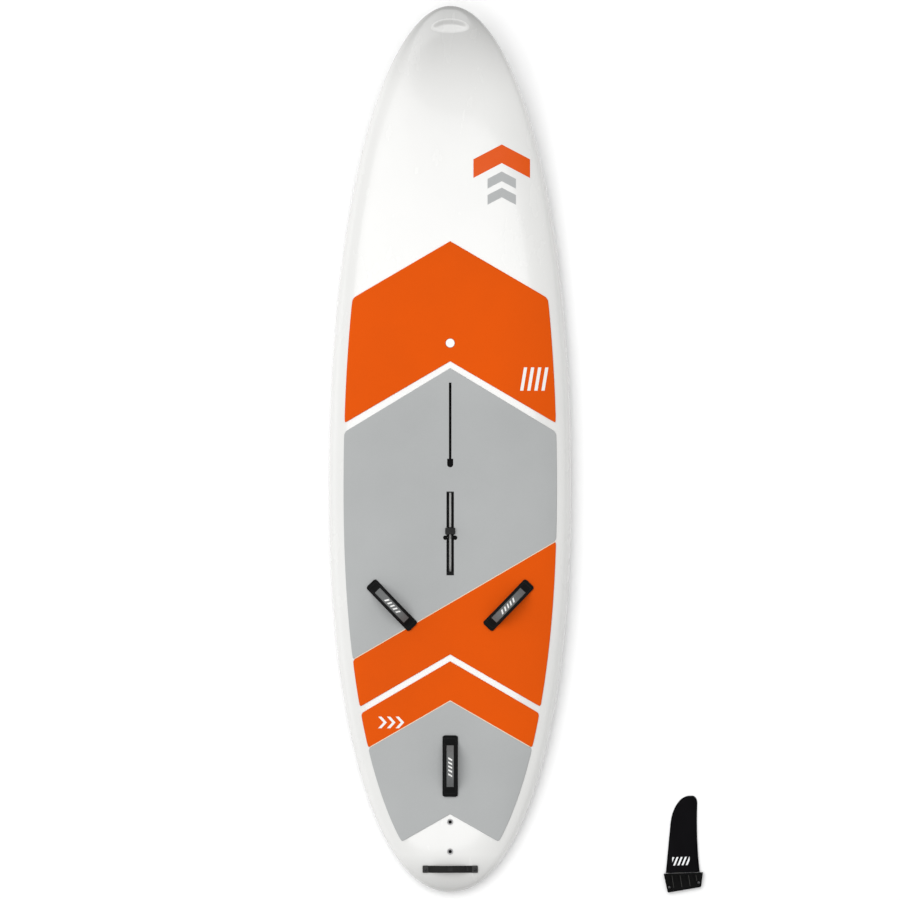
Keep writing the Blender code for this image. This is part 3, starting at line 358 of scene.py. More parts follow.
def film(name, colour):
    """Printed vinyl film with a faint screen grain."""
    look = Look(name, 0.5, Specular_IOR_Level=0.15)
    grain = look.noise(650.0, 2.0)
    look.colour(look.shades(colour, grain, 0.35, 0.65, 0.95, 1.03))
    look.rough(look.noise(24.0, 4.0), 0.3, 0.7, 0.34, 0.5)
    look.bump(grain, 0.00004, 0.4)
    return look.material


ORANGE, GREY = (0.690, 0.086, 0.0035), (0.405, 0.415, 0.415)
WHITE = (0.80, 0.80, 0.785)
# The last two numbers are the painted shade towards the nose tip and the tail tip.
HULL_LACQUER = lacquer("hull_lacquer", scaled(WHITE, 0.93), 0.76, 0.42)
# A darker copy of the hull's white lacquer: painted shade in the nose scoop.
SCOOP_PAINTED_SHADE_LACQUER = lacquer("scoop_painted_shade_lacquer", scaled(WHITE, 0.70))
ORANGE_PAD = foam_sheet("orange_deck_foam", ORANGE)
GREY_PAD = foam_sheet("grey_deck_foam", GREY)
PLASTIC = moulded("black_moulding", (0.005, 0.005, 0.0055))
ROOT_PLASTIC = moulded("fin_root_moulding", (0.0045, 0.0045, 0.0045), 0.25, 0.4, 900.0, 0.01)
# Lighter than the root's black: painted highlight on the raised ribs of the one moulding.
RIB_PAINTED_HIGHLIGHT_PLASTIC = moulded("fin_rib_painted_highlight_moulding", (0.042, 0.042, 0.040), 0.3, 0.45, 900.0)
PLATE_PLASTIC = moulded("plate_moulding", (0.044, 0.044, 0.043), 0.45, 0.6)
WHITE_PLASTIC = moulded("white_moulding", (0.78, 0.78, 0.77), 0.3, 0.42, 900.0, 0.4)
# Mid-grey bushes: painted shade round each fin bolt in the white deck.
BUSH_PAINTED_SHADE_PLASTIC = moulded("bush_painted_shade_moulding", (0.42, 0.42, 0.42), 0.4, 0.55, 900.0, 0.3)
RUBBER = rubber("black_rubber_grain", (0.004, 0.004, 0.004))
PEG_RUBBER = rubber("peg_rubber", (0.026, 0.026, 0.026))
STEEL = metal("stainless_steel", (0.60, 0.60, 0.61))
DARK_STEEL = metal("blackened_steel", (0.050, 0.050, 0.052))
COMPOSITE = composite("grey_blade_paint", (0.235, 0.235, 0.23))
SLEEVE_CLOTH = woven("neoprene_cloth", (0.0088, 0.0092, 0.0092), 0.0011, turn=0.8)
GRIP_CLOTH = woven("handle_cloth", (0.024, 0.024, 0.0235), 0.0014)
LABEL_CLOTH = woven("label_cloth", (0.170, 0.175, 0.175), 0.0008, 0.0001, turn=0.8)
THREAD = woven("thread", (0.045, 0.045, 0.047), 0.0004, 0.00005)
FOAM = bead_foam("expanded_beads", (0.84, 0.84, 0.82))
FIN_GLOSS = fin_gloss("fin_moulding", (0.0022, 0.0020, 0.0026))
TAPE_FOAM = foam_sheet("pale_joint_tape", (0.80, 0.66, 0.50))
ORANGE_FILM = film("orange_film", ORANGE)
GREY_FILM = film("grey_film", (0.41, 0.42, 0.42))
WHITE_FILM = film("white_film", WHITE)


# ---------------------------------------------------------------- mesh helpers
def smooth(obj, degrees):
    """Smooth shading, broken at edges that turn by more than the angle given."""
    obj.data.shade_smooth()
    sharpen(obj, degrees)


def sharpen(obj, degrees):
    obj.data.set_sharp_from_angle(angle=math.radians(degrees))


def guide(bm, name):
    """A plain object from a bmesh, as a piece starts out and as a cutter stays."""
    bmesh.ops.recalc_face_normals(bm, faces=bm.faces)
    mesh = bpy.data.meshes.new(name)
    bm.to_mesh(mesh)
    bm.free()
    obj = bpy.data.objects.new(name, mesh)
    bpy.context.scene.collection.objects.link(obj)
    return obj


def piece(bm, name, material, body, slot, *nodes, sharp=40.0):
    """A finished piece from a bmesh: smooth-shaded, riding on a body and standing for nodes."""
    obj = guide(bm, name)
    obj.data.materials.append(material)
    smooth(obj, sharp)
    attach(obj, body)
    if nodes:
        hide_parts(*nodes)
    return obj


def placed(bm, spot, *rest, **options):
    bm.transform(Matrix.Translation(spot))
    return piece(bm, *rest, **options)


def freeze(obj):
    """Replaces an object's mesh by what its modifiers make of it."""
    bpy.context.view_layer.update()
    graph = bpy.context.evaluated_depsgraph_get()
    made = bpy.data.meshes.new_from_object(obj.evaluated_get(graph))
    obj.modifiers.clear()
    obj.data = made


def carve(obj, *tools):
    """Cuts tool shapes out of obj for good, and removes the tools."""
    for tool in tools:
        cutter = obj.modifiers.new(tool.name, "BOOLEAN")
        cutter.operation = "DIFFERENCE"
        cutter.solver = "EXACT"
        cutter.object = tool
    freeze(obj)
    for tool in tools:
        bpy.data.objects.remove(tool)


def add_bevel(obj, width, degrees=40.0, segments=2):
    bevel = obj.modifiers.new("bevel", "BEVEL")
    bevel.width, bevel.segments = width, segments
    bevel.limit_method, bevel.angle_limit = "ANGLE", math.radians(degrees)


def prism(bm, outline, z0, z1):
    """Adds an upright prism on (x, y) points to a bmesh."""
    low = [bm.verts.new((x, y, z0)) for x, y in outline]
    high = [bm.verts.new((x, y, z1)) for x, y in outline]
    bm.faces.new(low)
    bm.faces.new(high)
    for i in range(len(outline)):
        j = (i + 1) % len(outline)
        bm.faces.new((low[i], low[j], high[j], high[i]))


def rectangle(x0, y0, x1, y1):
    return [(x0, y0), (x1, y0), (x1, y1), (x0, y1)]


def circle(radius, sides, centre=(0.0, 0.0)):
    turn = [2 * math.pi * (k + 0.5) / sides for k in range(sides)]
    return [(centre[0] + radius * math.cos(a), centre[1] + radius * math.sin(a)) for a in turn]


def bridge(bm, a, b, closed):
    """Quads between two rows of vertices of one length, or a fan to a row of one."""
    count = max(len(a), len(b))
    for j in range(count if closed else count - 1):
        k = (j + 1) % count
        corners = (a[j % len(a)], a[k % len(a)], b[k % len(b)], b[j % len(b)])
        unique = list(dict.fromkeys(corners))
        if len(unique) > 2:
            bm.faces.new(unique)


def loft(rings, capped=True):
    """A bmesh skinned over closed rings of points."""
    bm = bmesh.new()
    rows = [[bm.verts.new(p) for p in ring] for ring in rings]
    for a, b in zip(rows, rows[1:]):
        bridge(bm, a, b, closed=True)
    if capped:
        for row in (rows[0], rows[-1]):
            if len(row) > 2:
                bm.faces.new(row)
    return bm


def turned(profile, sides=64):
    """A bmesh turned about Z from (radius, z) points. It closes on itself unless it ends at 0."""
    rings = []
    for radius, z in profile:
        ring = [(x, y, z) for x, y in circle(radius, sides)]
        rings.append([(0, 0, z)] if radius == 0.0 else ring)
    if profile[0][0] > 0.0:
        rings.append(rings[0])
        bm = loft(rings, capped=False)
        bmesh.ops.remove_doubles(bm, verts=bm.verts, dist=1e-7)
        return bm
    return loft(rings, capped=False)


def solid_sheet(bm, top, low):
    """Closes two grids of vertices, one over the other, into a solid."""
    for grid in (top, low):
        for a, b in zip(grid, grid[1:]):
            bridge(bm, a, b, closed=False)
    for k in (0, -1):
        bridge(bm, top[k], low[k], closed=False)
    for a, b in zip(range(len(top) - 1), range(1, len(top))):
        for edge in (0, -1):
            corners = (top[a][edge], top[b][edge], low[b][edge], low[a][edge])
            unique = list(dict.fromkeys(corners))
            if len(unique) > 2:
                bm.faces.new(unique)


def soften(node, material, width=0.0004, segments=2):
    """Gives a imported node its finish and, unless width is 0, rounded edges."""
    obj = NODES[node]
    obj.data.materials.clear()
    obj.data.materials.append(material)
    if width:
        weld = obj.modifiers.new("weld", "WELD")
        weld.merge_threshold = 0.00002
        add_bevel(obj, width, segments=segments)


# ---------------------------------------------------------------- the hull's shape
def half_width(y):
    reach = HALF_LENGTH - WIDE_POINT if y > WIDE_POINT else HALF_LENGTH + WIDE_POINT
    power, root = NOSE_OUTLINE if y > WIDE_POINT else TAIL_OUTLINE
    share = min(abs(y - WIDE_POINT) / reach, 1.0)
    return HALF_WIDTH * (1.0 - share**power) ** (1.0 / root)


def rocker(y):
    for start, lift, power in (NOSE_ROCKER, TAIL_ROCKER):
        share = (y - start) / (math.copysign(HALF_LENGTH, start) - start)
        if share > 0:
            return lift * share**power
    return 0.0


def thickness(y):
    loss, power = NOSE_THINNING if y > THICK_POINT else TAIL_THINNING
    reach = HALF_LENGTH - THICK_POINT if y > THICK_POINT else HALF_LENGTH + THICK_POINT
    return THICKNESS * (1.0 - loss * (abs(y - THICK_POINT) / reach) ** power)


def tip_fade(y):
    share = max(0.0, (abs(y) - TIP_START) / (HALF_LENGTH - TIP_START))
    return math.sqrt(max(0.0, 1.0 - min(share, 1.0) ** 6))


def rail_height(y):
    return rocker(y) + RAIL_SHARE * thickness(y)


def deck_rise(y):
    return (1.0 - RAIL_SHARE) * thickness(y) * tip_fade(y)


def bottom_drop(y):
    return RAIL_SHARE * thickness(y) * tip_fade(y)


def deck_z(x, y, inset=0.0):
    """Height of the deck at a point, or of the surface that lies inset below it."""
    y = y * HALF_LENGTH / (HALF_LENGTH - inset)
    share = min(abs(x) / (half_width(y) - inset), 1.0)
    rise = (deck_rise(y) - inset) * (1.0 - share**DECK_EXPONENT) ** (1.0 / DECK_EXPONENT)
    return rail_height(y) + rise + GAP


def pad_z(x, y):
    return deck_z(x, y, -PAD_TOP)


def deck_normal(x, y):
    step = 0.004
    slope_x = (deck_z(x + step, y) - deck_z(x - step, y)) / (2 * step)
    slope_y = (deck_z(x, y + step) - deck_z(x, y - step)) / (2 * step)
    return Vector((-slope_x, -slope_y, 1.0)).normalized()


def even_shares():
    """Shares of the half-width across the deck: even steps in the middle, fine ones at the rail."""
    middle = [k / 20 for k in range(18)]
    start = math.asin(middle[-1] ** (DECK_EXPONENT / 2))
    turns = [start + (math.pi / 2 - start) * k / 16 for k in range(1, 17)]
    rail = [math.sin(a) ** (2 / DECK_EXPONENT) for a in turns]
    half = middle + rail
    return [-s for s in reversed(half[1:])] + half


def deck_row(y, inset, lift=GAP):
    place = y * (HALF_LENGTH - inset) / HALF_LENGTH
    level = rail_height(y) + lift
    width, rise = half_width(y) - inset, deck_rise(y) - inset
    if half_width(y) < 1e-4:
        return [(0.0, place, level)]
    row = []
    for share in SHARES:
        up = max(0.0, 1.0 - abs(share) ** DECK_EXPONENT) ** (1 / DECK_EXPONENT)
        row.append((width * share, place, level + rise * up))
    return row


def bottom_row(y, inset, tuck_steps=14, flat_steps=6):
    place = y * (HALF_LENGTH - inset) / HALF_LENGTH
    level = rail_height(y)
    width, drop_to = half_width(y) - inset, bottom_drop(y) - inset
    if half_width(y) < 1e-4:
        return [(0.0, place, level)]
    tuck = min(RAIL_TUCK, 0.75 * width)
    side = []
    for j in range(tuck_steps + 1):
        angle = math.pi / 2 * (1.0 - j / tuck_steps)
        down = math.cos(angle) if j else 0.0
        side.append((width - tuck + tuck * math.sin(angle), place, level - drop_to * down))
    flat = width - tuck
    inner = [(flat * (1 - k / flat_steps), place, level - drop_to) for k in range(1, flat_steps)]
    half = side + inner
    return [(-x, y2, z) for x, y2, z in half] + [(0.0, place, level - drop_to)] + half[::-1]


SHARES = even_shares()
STATION_Y = [
    HALF_LENGTH * math.sin(math.pi / 2 * (2.0 * k / STATIONS - 1.0)) for k in range(STATIONS + 1)
]


def shell(row):
    """A bmesh of a thin shell: outer rows and rows one skin's thickness inside them."""
    bm = bmesh.new()
    outer = [[bm.verts.new(p) for p in row(y, 0.0)] for y in STATION_Y]
    inner = [[bm.verts.new(p) for p in row(y, SKIN)] for y in STATION_Y]
    for layer in (outer, inner):
        for a, b in zip(layer, layer[1:]):
            bridge(bm, a, b, closed=False)
    for k in range(STATIONS):
        for edge in (0, -1):
            corners = (outer[k][edge], outer[k + 1][edge], inner[k + 1][edge], inner[k][edge])
            bm.faces.new(list(dict.fromkeys(corners)))
    return bm


# ---------------------------------------------------------------- cutters shared by hull and pads
def keyhole(slot, hole):
    """Plan outline of the mast slot with its wider insertion hole, whose rear end is round."""
    centre = TRACK_REAR + hole
    bend = [
        (hole * math.cos(a), centre - hole * math.sin(a))
        for a in [math.pi * k / 24 for k in range(25)]
    ]
    return [(-slot, TRACK_FRONT), (-slot, TRACK_NECK), (-hole, TRACK_NECK)] + bend[::-1] + [
        (hole, TRACK_NECK), (slot, TRACK_NECK), (slot, TRACK_FRONT)]


def scoop_outline(grow, steps=28):
    """A lens: a bowed front edge and a flatter rear edge."""
    rear, front = SCOOP_Y[0] - grow, SCOOP_Y[1] + grow
    half = SCOOP_HALF + 1.5 * grow
    waist = rear + 0.35 * (front - rear)
    points = []
    for k in range(2 * steps):
        a = math.pi * k / steps
        reach = front - waist if math.sin(a) > 0 else waist - rear
        points.append((half * math.cos(a), waist + reach * math.sin(a)))
    return points


def prism_guide(name, outlines, z0=-0.02, z1=0.32):
    bm = bmesh.new()
    for outline in outlines:
        prism(bm, outline, z0, z1)
    return guide(bm, name)


def case_outline(grow):
    y0, y1 = PIVOT.y + RIM_REAR - grow, PIVOT.y + RIM_FRONT + grow
    return rectangle(-CASE_HALF - grow, y0, CASE_HALF + grow, y1)


def seat_outlines(grow):
    return [circle(SEAT_R + grow, 40, (side * SEAT_X, PIVOT.y)) for side in (-1, 1)]


# ---------------------------------------------------------------- hull
def grown(low, high, room):
    """Plan rectangle of a box, larger by some room on each side."""
    return rectangle(low.x - room, low.y - room, high.x + room, high.y + room)


def make_hull():
    deck = piece(shell(deck_row), "deck_shell", HULL_LACQUER, "board", "white_lacquer",
                 "deck_skin", sharp=30.0)
    bottom = piece(shell(bottom_row), "bottom_shell", HULL_LACQUER, "board", "white_lacquer",
                   "bottom_skin", sharp=30.0)
    through = [circle(0.0098, 48, (0.0, FIN_CENTRE + s * BOLT_HALF_SPACING)) for s in (-1, 1)]
    for (cx, cy), degrees, _ in STRAPS.values():
        a = math.radians(degrees)
        for s in (-STRAP_SCREW, STRAP_SCREW):
            through.append(circle(0.0095, 24, (cx + s * math.cos(a), cy + s * math.sin(a))))
    through += [circle(0.0028, 16, (x, HANDLE_Y)) for x in (-HANDLE_SCREW_X, HANDLE_SCREW_X)]
    holes = prism_guide("holes", [
        grown(*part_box("mast_track_box"), GAP), case_outline(GAP),
        circle(0.0158, 64, (0.0, VENT_Y)), scoop_outline(0.0), *through,
    ], z0=0.055)
    carve(deck, holes, prism_guide("lobes", seat_outlines(GAP), z0=0.1))
    below = prism_guide("below", [
        rectangle(-CASE_HALF - GAP, PIVOT.y + CASE_REAR - GAP, CASE_HALF + GAP,
                  PIVOT.y + RIM_FRONT + GAP),
        rectangle(-0.0142, FIN_CENTRE - 0.0665, 0.0142, FIN_CENTRE + 0.0665),
    ], z1=0.06)
    lips = grown(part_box("lower_lip_left")[0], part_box("lower_lip_right")[1], GAP)
    carve(bottom, below, prism_guide("recess", [lips], z1=0.0018))
    smooth(deck, 30.0)
    smooth(bottom, 30.0)
    soften("foam_core", FOAM, 0.0)


def make_scoop():
    """The moulded finger grip in the nose: a dish with a rolled edge, set into the deck."""
    floor = deck_z(0.0, sum(SCOOP_Y) / 2) - SCOOP_DEPTH * 0.38
    lip = [(0.0026, 0.0, -0.0001), (0.0020, 0.0, 0.00012), (0.0010, 0.0, 0.00018)]
    shares = [k / 17 for k in range(18)]
    dish = [(-0.0002 - 0.0172 * t, t * t * (3 - 2 * t), 0.0) for t in shares]
    rings = []
    for grow, depth, lift in lip + dish:
        ring = []
        for x, y in scoop_outline(grow):
            top = deck_z(x, y) + lift
            ring.append((x, y, top + (floor - top) * depth))
        rings.append(ring)
    middle = sum(p[1] for p in rings[-1]) / len(rings[-1])
    under = [[(x, y, z - 0.0016) for x, y, z in ring] for ring in rings[3::3]]
    shoulder = [(x, y, deck_z(x, y) - 0.0008) for x, y in scoop_outline(0.0016)]
    closed = loft([[(0.0, middle, floor)], *rings[::-1], shoulder, *under,
                   [(0.0, middle, floor - 0.0016)]], capped=False)
    # The scoop's lacquer is painted darker, as shade in the dish.
    piece(closed, "nose_scoop", SCOOP_PAINTED_SHADE_LACQUER, "board", "white_lacquer", sharp=60.0)


# ---------------------------------------------------------------- deck pads
def pad_half(y):
    return half_width(y) - PAD_INSET


def edge_line(height_centre, height_side):
    """A chevron edge: its height at a signed distance from the centreline."""
    reach = pad_half(height_side)
    return lambda x: height_centre + (height_side - height_centre) * abs(x) / reach


def diagonal(sign):
    """The straight joint between the two colours of the middle pad, moved to one side."""
    slope = (SPLIT_RIGHT[1] - SPLIT_LEFT[1]) / (SPLIT_RIGHT[0] - SPLIT_LEFT[0])
    shift = sign * SPLIT_HALF * math.hypot(1.0, slope)
    return lambda x: SPLIT_RIGHT[1] + (x - SPLIT_RIGHT[0]) * slope + shift


def spaced(length, fine, steps):
    """Shares from 0 to 1 with a few short steps at both ends to round an edge."""
    ends = [0.0, 0.22, 0.55, 1.0, 2.4, 4.5]
    inner = [fine * e / length for e in ends]
    middle = [inner[-1] + (1 - 2 * inner[-1]) * k / steps for k in range(1, steps)]
    return inner + middle + [1 - s for s in reversed(inner)]


def make_pad(name, node, top, low, material, slot, columns=34, rows=26):
    """A pad between two edge lines and two sides that follow the rails, with rounded edges."""
    span = abs(top(0.0) - low(0.0))
    across = [2 * s - 1 for s in spaced(0.6, PAD_ROUND, columns)]
    along = spaced(span, PAD_ROUND, max(10, int(rows * span / 0.4)))
    bm = bmesh.new()
    tops, lows = [], []
    for t in along:
        high_row, low_row = [], []
        for a in across:
            y = low(0.0) + (top(0.0) - low(0.0)) * t
            for _ in range(6):
                x = a * pad_half(y)
                y = low(x) + (top(x) - low(x)) * t
            x = a * pad_half(y)
            to_side = (1 - abs(a)) * pad_half(y)
            to_end = min(t, 1 - t) * abs(top(x) - low(x)) * 0.87
            if to_side < PAD_CORNER and to_end < PAD_CORNER:
                p, q = PAD_CORNER - to_side, PAD_CORNER - to_end
                ease = 1 - max(p, q) / max(math.hypot(p, q), 1e-9)
                x -= math.copysign(p * ease, a)
                y += q * ease * (1 if t < 0.5 else -1)
            edge = min(to_side, to_end, PAD_ROUND) / PAD_ROUND
            sink = PAD_ROUND * (1 - math.sqrt(max(0.0, 1 - (1 - edge) ** 2)))
            high_row.append(bm.verts.new((x, y, pad_z(x, y) - sink)))
            low_row.append(bm.verts.new((x, y, deck_z(x, y, -PAD_GAP))))
        tops.append(high_row)
        lows.append(low_row)
    solid_sheet(bm, tops, lows)
    return piece(bm, name, material, "board", slot, node, sharp=50.0)


def make_pads():
    line = {key: edge_line(*ends) for key, ends in CHEVRONS.items()}
    above, below = (edge_line(*(end + shift for end in CHEVRONS["rear_split"]))
                    for shift in (SPLIT_HALF, -SPLIT_HALF))
    front = make_pad("front_pad", "pad_front", line["front_top"], line["front_low"], ORANGE_PAD,
                     "orange_foam")
    middle = make_pad("middle_pad_grey", "pad_middle_grey", line["middle_top"], diagonal(1),
                      GREY_PAD, "grey_foam", columns=44)
    make_pad("middle_pad_orange", "pad_middle_orange", diagonal(-1), line["middle_low"],
             ORANGE_PAD, "orange_foam")
    make_pad("rear_pad_orange", "pad_rear_orange", line["rear_top"], above, ORANGE_PAD,
             "orange_foam")
    make_pad("rear_pad_grey", "pad_rear_grey", below, line["rear_low"], GREY_PAD, "grey_foam")
    vent = prism_guide("vent_room", [circle(VENT_R + 0.0006, 64, (0.0, VENT_Y))], z0=0.1)
    carve(front, vent)
    slot = prism_guide("slot_room", [keyhole(TRACK_SLOT, TRACK_CHANNEL), case_outline(GAP)], z0=0.1)
    carve(middle, slot, prism_guide("lobe_room", seat_outlines(0.0005), z0=0.1))
    smooth(front, 50.0)
    smooth(middle, 50.0)


# ---------------------------------------------------------------- generic printed marks
def patch(name, corners, surface, material, slot, steps=12):
    """A thin film laid on a surface: four corners in order, filled with an even grid."""
    a, b, c, d = (Vector(p) for p in corners)
    bm = bmesh.new()
    tops, lows = [], []
    for i in range(steps + 1):
        left, right = a.lerp(d, i / steps), b.lerp(c, i / steps)
        spots = [left.lerp(right, j / steps) for j in range(steps + 1)]
        for rows, lift in ((tops, 0.00030), (lows, 0.00015)):
            rows.append([bm.verts.new((p.x, p.y, surface(p.x, p.y) + lift)) for p in spots])
    solid_sheet(bm, tops, lows)
    piece(bm, name, material, "board", slot)


def chevron_mark(name, centre, size, surface, material, slot):
    """A row of three plain arrowheads, made of pairs of slanted bars."""
    cx, cy = centre
    for k in range(3):
        x = cx + (k - 1) * size * 0.75
        for half, sign in (("upper", 1), ("lower", -1)):
            tip, back, bar = x + size * 0.28, x - size * 0.18, size * 0.28
            corners = [(back, cy + sign * size * 0.5), (back + bar, cy + sign * size * 0.5),
                       (tip + bar, cy), (tip, cy)]
            patch(f"{name}_{k}_{half}", corners, surface, material, slot, steps=4)


def arrow_band(name, tip, wing, drop_to, width, surface, material, slot):
    """A broad upward arrow, as two slanted bars that meet at its tip."""
    x, y = tip
    for side, word in ((-1, "left"), (1, "right")):
        corners = [(x, y - width), (x, y), (x + side * wing, y - drop_to),
                   (x + side * wing, y - drop_to - width)]
        patch(f"{name}_{word}", corners, surface, material, slot, steps=20)


def make_marks():
    arrow_band("nose_arrow", (0.160, 0.946), 0.088, 0.046, 0.058, deck_z, ORANGE_FILM,
               "orange_foam")
    for word, y in (("low", 0.862), ("last", 0.812)):
        arrow_band(f"nose_arrow_{word}", (0.160, y), 0.044, 0.023, 0.030, deck_z, GREY_FILM,
                   "grey_foam")
    for k in range(4):
        x, low, high = 0.296 - 0.022 * k, 0.218 - 0.036, 0.218 + 0.036
        patch(f"front_stripe_{k}", [(x - 0.013, low), (x - 0.003, low), (x + 0.009, high),
                                    (x - 0.001, high)], pad_z, WHITE_FILM, "white_lacquer")
    chevron_mark("rear_arrow", (-0.190, -0.848), 0.036, pad_z, WHITE_FILM, "white_lacquer")


TAPE_TOP = ((-0.0014, 0.00025), (-0.0010, 0.0004), (0.0010, 0.0004), (0.0014, 0.00025))
TAPE_LOW, TAPE_END_IN = 0.0001, 0.006


def make_tape(name, line, left, right):
    """A thin pale sealing tape along a joint between two colours of pad."""
    bm = bmesh.new()
    tops, lows = [], []
    for k in range(121):
        x = left + TAPE_END_IN + (right - left - 2 * TAPE_END_IN) * k / 120
        y = line(x)
        tops.append([bm.verts.new((x, y + t, pad_z(x, y) + lift)) for t, lift in TAPE_TOP])
        lows.append([bm.verts.new((x, y + t, pad_z(x, y) + TAPE_LOW)) for t, _ in TAPE_TOP])
    solid_sheet(bm, tops, lows)
    piece(bm, name, TAPE_FOAM, "board", "white_lacquer", sharp=60.0)


def make_joint_tapes():
    make_tape("middle_joint_tape", diagonal(0), SPLIT_LEFT[0], SPLIT_RIGHT[0])
    side = pad_half(CHEVRONS["rear_split"][1])
    make_tape("rear_joint_tape", edge_line(*CHEVRONS["rear_split"]), -side, side)


# ---------------------------------------------------------------- arches: straps and handle
def arch(s, shape, foot):
    crown, span, power, bell = shape
    share = min(abs(s) / span, 1.0)
    return foot + crown * (1.0 - share**power) ** bell


def arch_point(s, offset, shape, foot):
    """(s, height) of a line parallel to an arch's middle line."""
    step = 0.0005
    rise = (arch(s + step, shape, foot) - arch(s - step, shape, foot)) / (2 * step)
    length = math.hypot(1.0, rise)
    return s - offset * rise / length, arch(s, shape, foot) + offset / length


class Arch:
    """A strap's course over the deck, which turns (s, t, offset) into a point."""

    def __init__(self, centre, degrees, shape, foot, surface):
        self.centre = Vector(centre)
        self.along = Vector((math.cos(math.radians(degrees)), math.sin(math.radians(degrees))))
        self.side = Vector((-self.along.y, self.along.x))
        self.shape, self.foot, self.surface = shape, foot, surface

    def point(self, s, t, offset):
        reach, height = arch_point(s, offset, self.shape, self.foot)
        spot = self.centre + self.along * reach + self.side * t
        return Vector((spot.x, spot.y, self.surface(spot.x, spot.y) + height))

    def even(self, end, count):
        """Distances s at even steps along the arch, whose sides are steep."""
        fine = [end * k / 400 for k in range(401)]
        lengths = [0.0]
        for a, b in zip(fine, fine[1:]):
            rise = arch(b, self.shape, self.foot) - arch(a, self.shape, self.foot)
            lengths.append(lengths[-1] + math.hypot(b - a, rise))
        half = np.interp(np.linspace(0, lengths[-1], count // 2 + 1), lengths, fine)
        return [-s for s in half[:0:-1]] + list(half)


def rounded_end(s, end, radius):
    """How much a band narrows near its end, for a rounded corner."""
    past = abs(s) - (end - radius)
    return 0.0 if past <= 0 else radius - math.sqrt(max(0.0, radius**2 - past**2))


def bent(value, power):
    """A power of a number that keeps its sign."""
    return math.copysign(abs(value) ** power, value)


SECTION_TURNS = [2 * math.pi * k / SECTION for k in range(SECTION)]


def band_ring(course, s, half, thick, low_thick):
    """A flat section with round sides, bulged above and flatter below."""
    ring = []
    for a in SECTION_TURNS:
        up = bent(math.sin(a), SECTION_FACE)
        across = half * bent(math.cos(a), SECTION_SIDE)
        ring.append(course.point(s, across, up * (thick if up > 0 else low_thick)))
    return ring


def puff(obj, held, cap, frames=14):
    """Inflates a closed cloth between the points that are held, then keeps the result."""
    group = obj.vertex_groups.new(name="held")
    group.add([int(i) for i in held], 1.0, "REPLACE")
    rest = np.array([v.co for v in obj.data.vertices])
    cloth = obj.modifiers.new("cloth", "CLOTH")
    settings = cloth.settings
    settings.quality = 5
    settings.mass = 0.05
    settings.tension_stiffness = settings.compression_stiffness = 25
    settings.shear_stiffness = 12
    settings.bending_stiffness = 0.05
    settings.use_pressure = True
    settings.uniform_pressure_force = 3.0
    settings.effector_weights.gravity = 0.0
    settings.vertex_group_mass = "held"
    cloth.collision_settings.use_collision = False
    scene = bpy.context.scene
    cloth.point_cache.frame_start, cloth.point_cache.frame_end = 1, frames
    for number in range(1, frames + 1):
        scene.frame_set(number)
    graph = bpy.context.evaluated_depsgraph_get()
    made = bpy.data.meshes.new_from_object(obj.evaluated_get(graph))
    moved = np.array([v.co for v in made.vertices]) - rest
    length = np.linalg.norm(moved, axis=1)[:, None]
    kept = rest + moved * np.minimum(1.0, cap / np.maximum(length, 1e-9))
    obj.modifiers.clear()
    obj.data.vertices.foreach_set("co", kept.astype(np.float32).ravel())
    obj.data.update()
    scene.frame_set(1)
    bpy.data.meshes.remove(made)


def make_sleeve(name, course, half):
    """The padded sleeve, puffed up between its sewn channels and puckered along them."""
    end = STRAP_END + PADDING_PAST_END
    wide = half + PADDING_PAST_SIDE
    stops = course.even(end, 88)
    rings = []
    for s in stops:
        narrow = rounded_end(s, end, 0.0070)
        thick = STRAP_THICK * (1.0 - 0.42 * max(0.0, (abs(s) - 0.080) / (end - 0.080))) * 0.94
        rings.append(band_ring(course, s, wide - narrow, thick, thick))
    sleeve = piece(loft(rings), f"{name}_padding", SLEEVE_CLOTH, "board", "strap_fabric",
                   f"{name}_sleeve", sharp=60.0)
    grid = []
    for i, s in enumerate(stops):
        for k, a in enumerate(SECTION_TURNS):
            across = wide * bent(math.cos(a), SECTION_SIDE)
            away = min(abs(across - half + SEAM_IN), abs(across + half - SEAM_IN))
            grid.append((i * SECTION + k, s, a, across, away))
    held = [index for index, s, a, _, away in grid
            if math.sin(a) < -0.3 or away < 0.0013 or abs(s) > 0.080]
    puff(sleeve, held, 0.0016)
    for index, s, a, across, away in grid:
        if math.sin(a) > 0.1 and abs(s) < 0.088:
            pucker = 0.00055 * math.exp(-(away / 0.0011) ** 2)
            wrinkle = noise.noise(Vector((s * 160, across * 90, half * 50))) * 0.00022
            lower, upper = course.point(s, across, 0.0), course.point(s, across, 0.001)
            sleeve.data.vertices[index].co += (upper - lower).normalized() * (wrinkle - pucker)


def make_strap(name, centre, degrees, half):
    """A padded sleeve with its label, its rows of stitches and what it hides."""
    course = Arch(centre, degrees, STRAP_ARCH, STRAP_FOOT, pad_z)
    make_sleeve(name, course, half)
    outline = band_outline(0.0112, STRAP_THICK - 0.0002, STRAP_THICK + 0.0011)
    rings = []
    for k in range(41):
        s = 0.0595 * (2 * k / 40 - 1)
        rings.append([course.point(s, t, offset) for t, offset in outline])
    piece(loft(rings), f"{name}_label_cloth", LABEL_CLOTH, "board", "label_grey", f"{name}_label",
          sharp=50.0)
    make_label_mark(name, course)
    make_stitches(name, course, half)
    soften(f"{name}_webbing", GRIP_CLOTH, 0.0)
    for end in ("a", "b"):
        soften(f"{name}_screw_{end}", STEEL, 0.0)
        soften(f"{name}_insert_{end}", PLASTIC, 0.0)


def band_outline(half, low, high, lip=0.0005):
    """(t, offset) points round a thin band with softened upper edges."""
    return [(-half, low), (half, low), (half, high - lip), (half - lip, high),
            (half - 3 * lip, high), (lip * 3 - half, high), (lip - half, high),
            (-half, high - lip)]


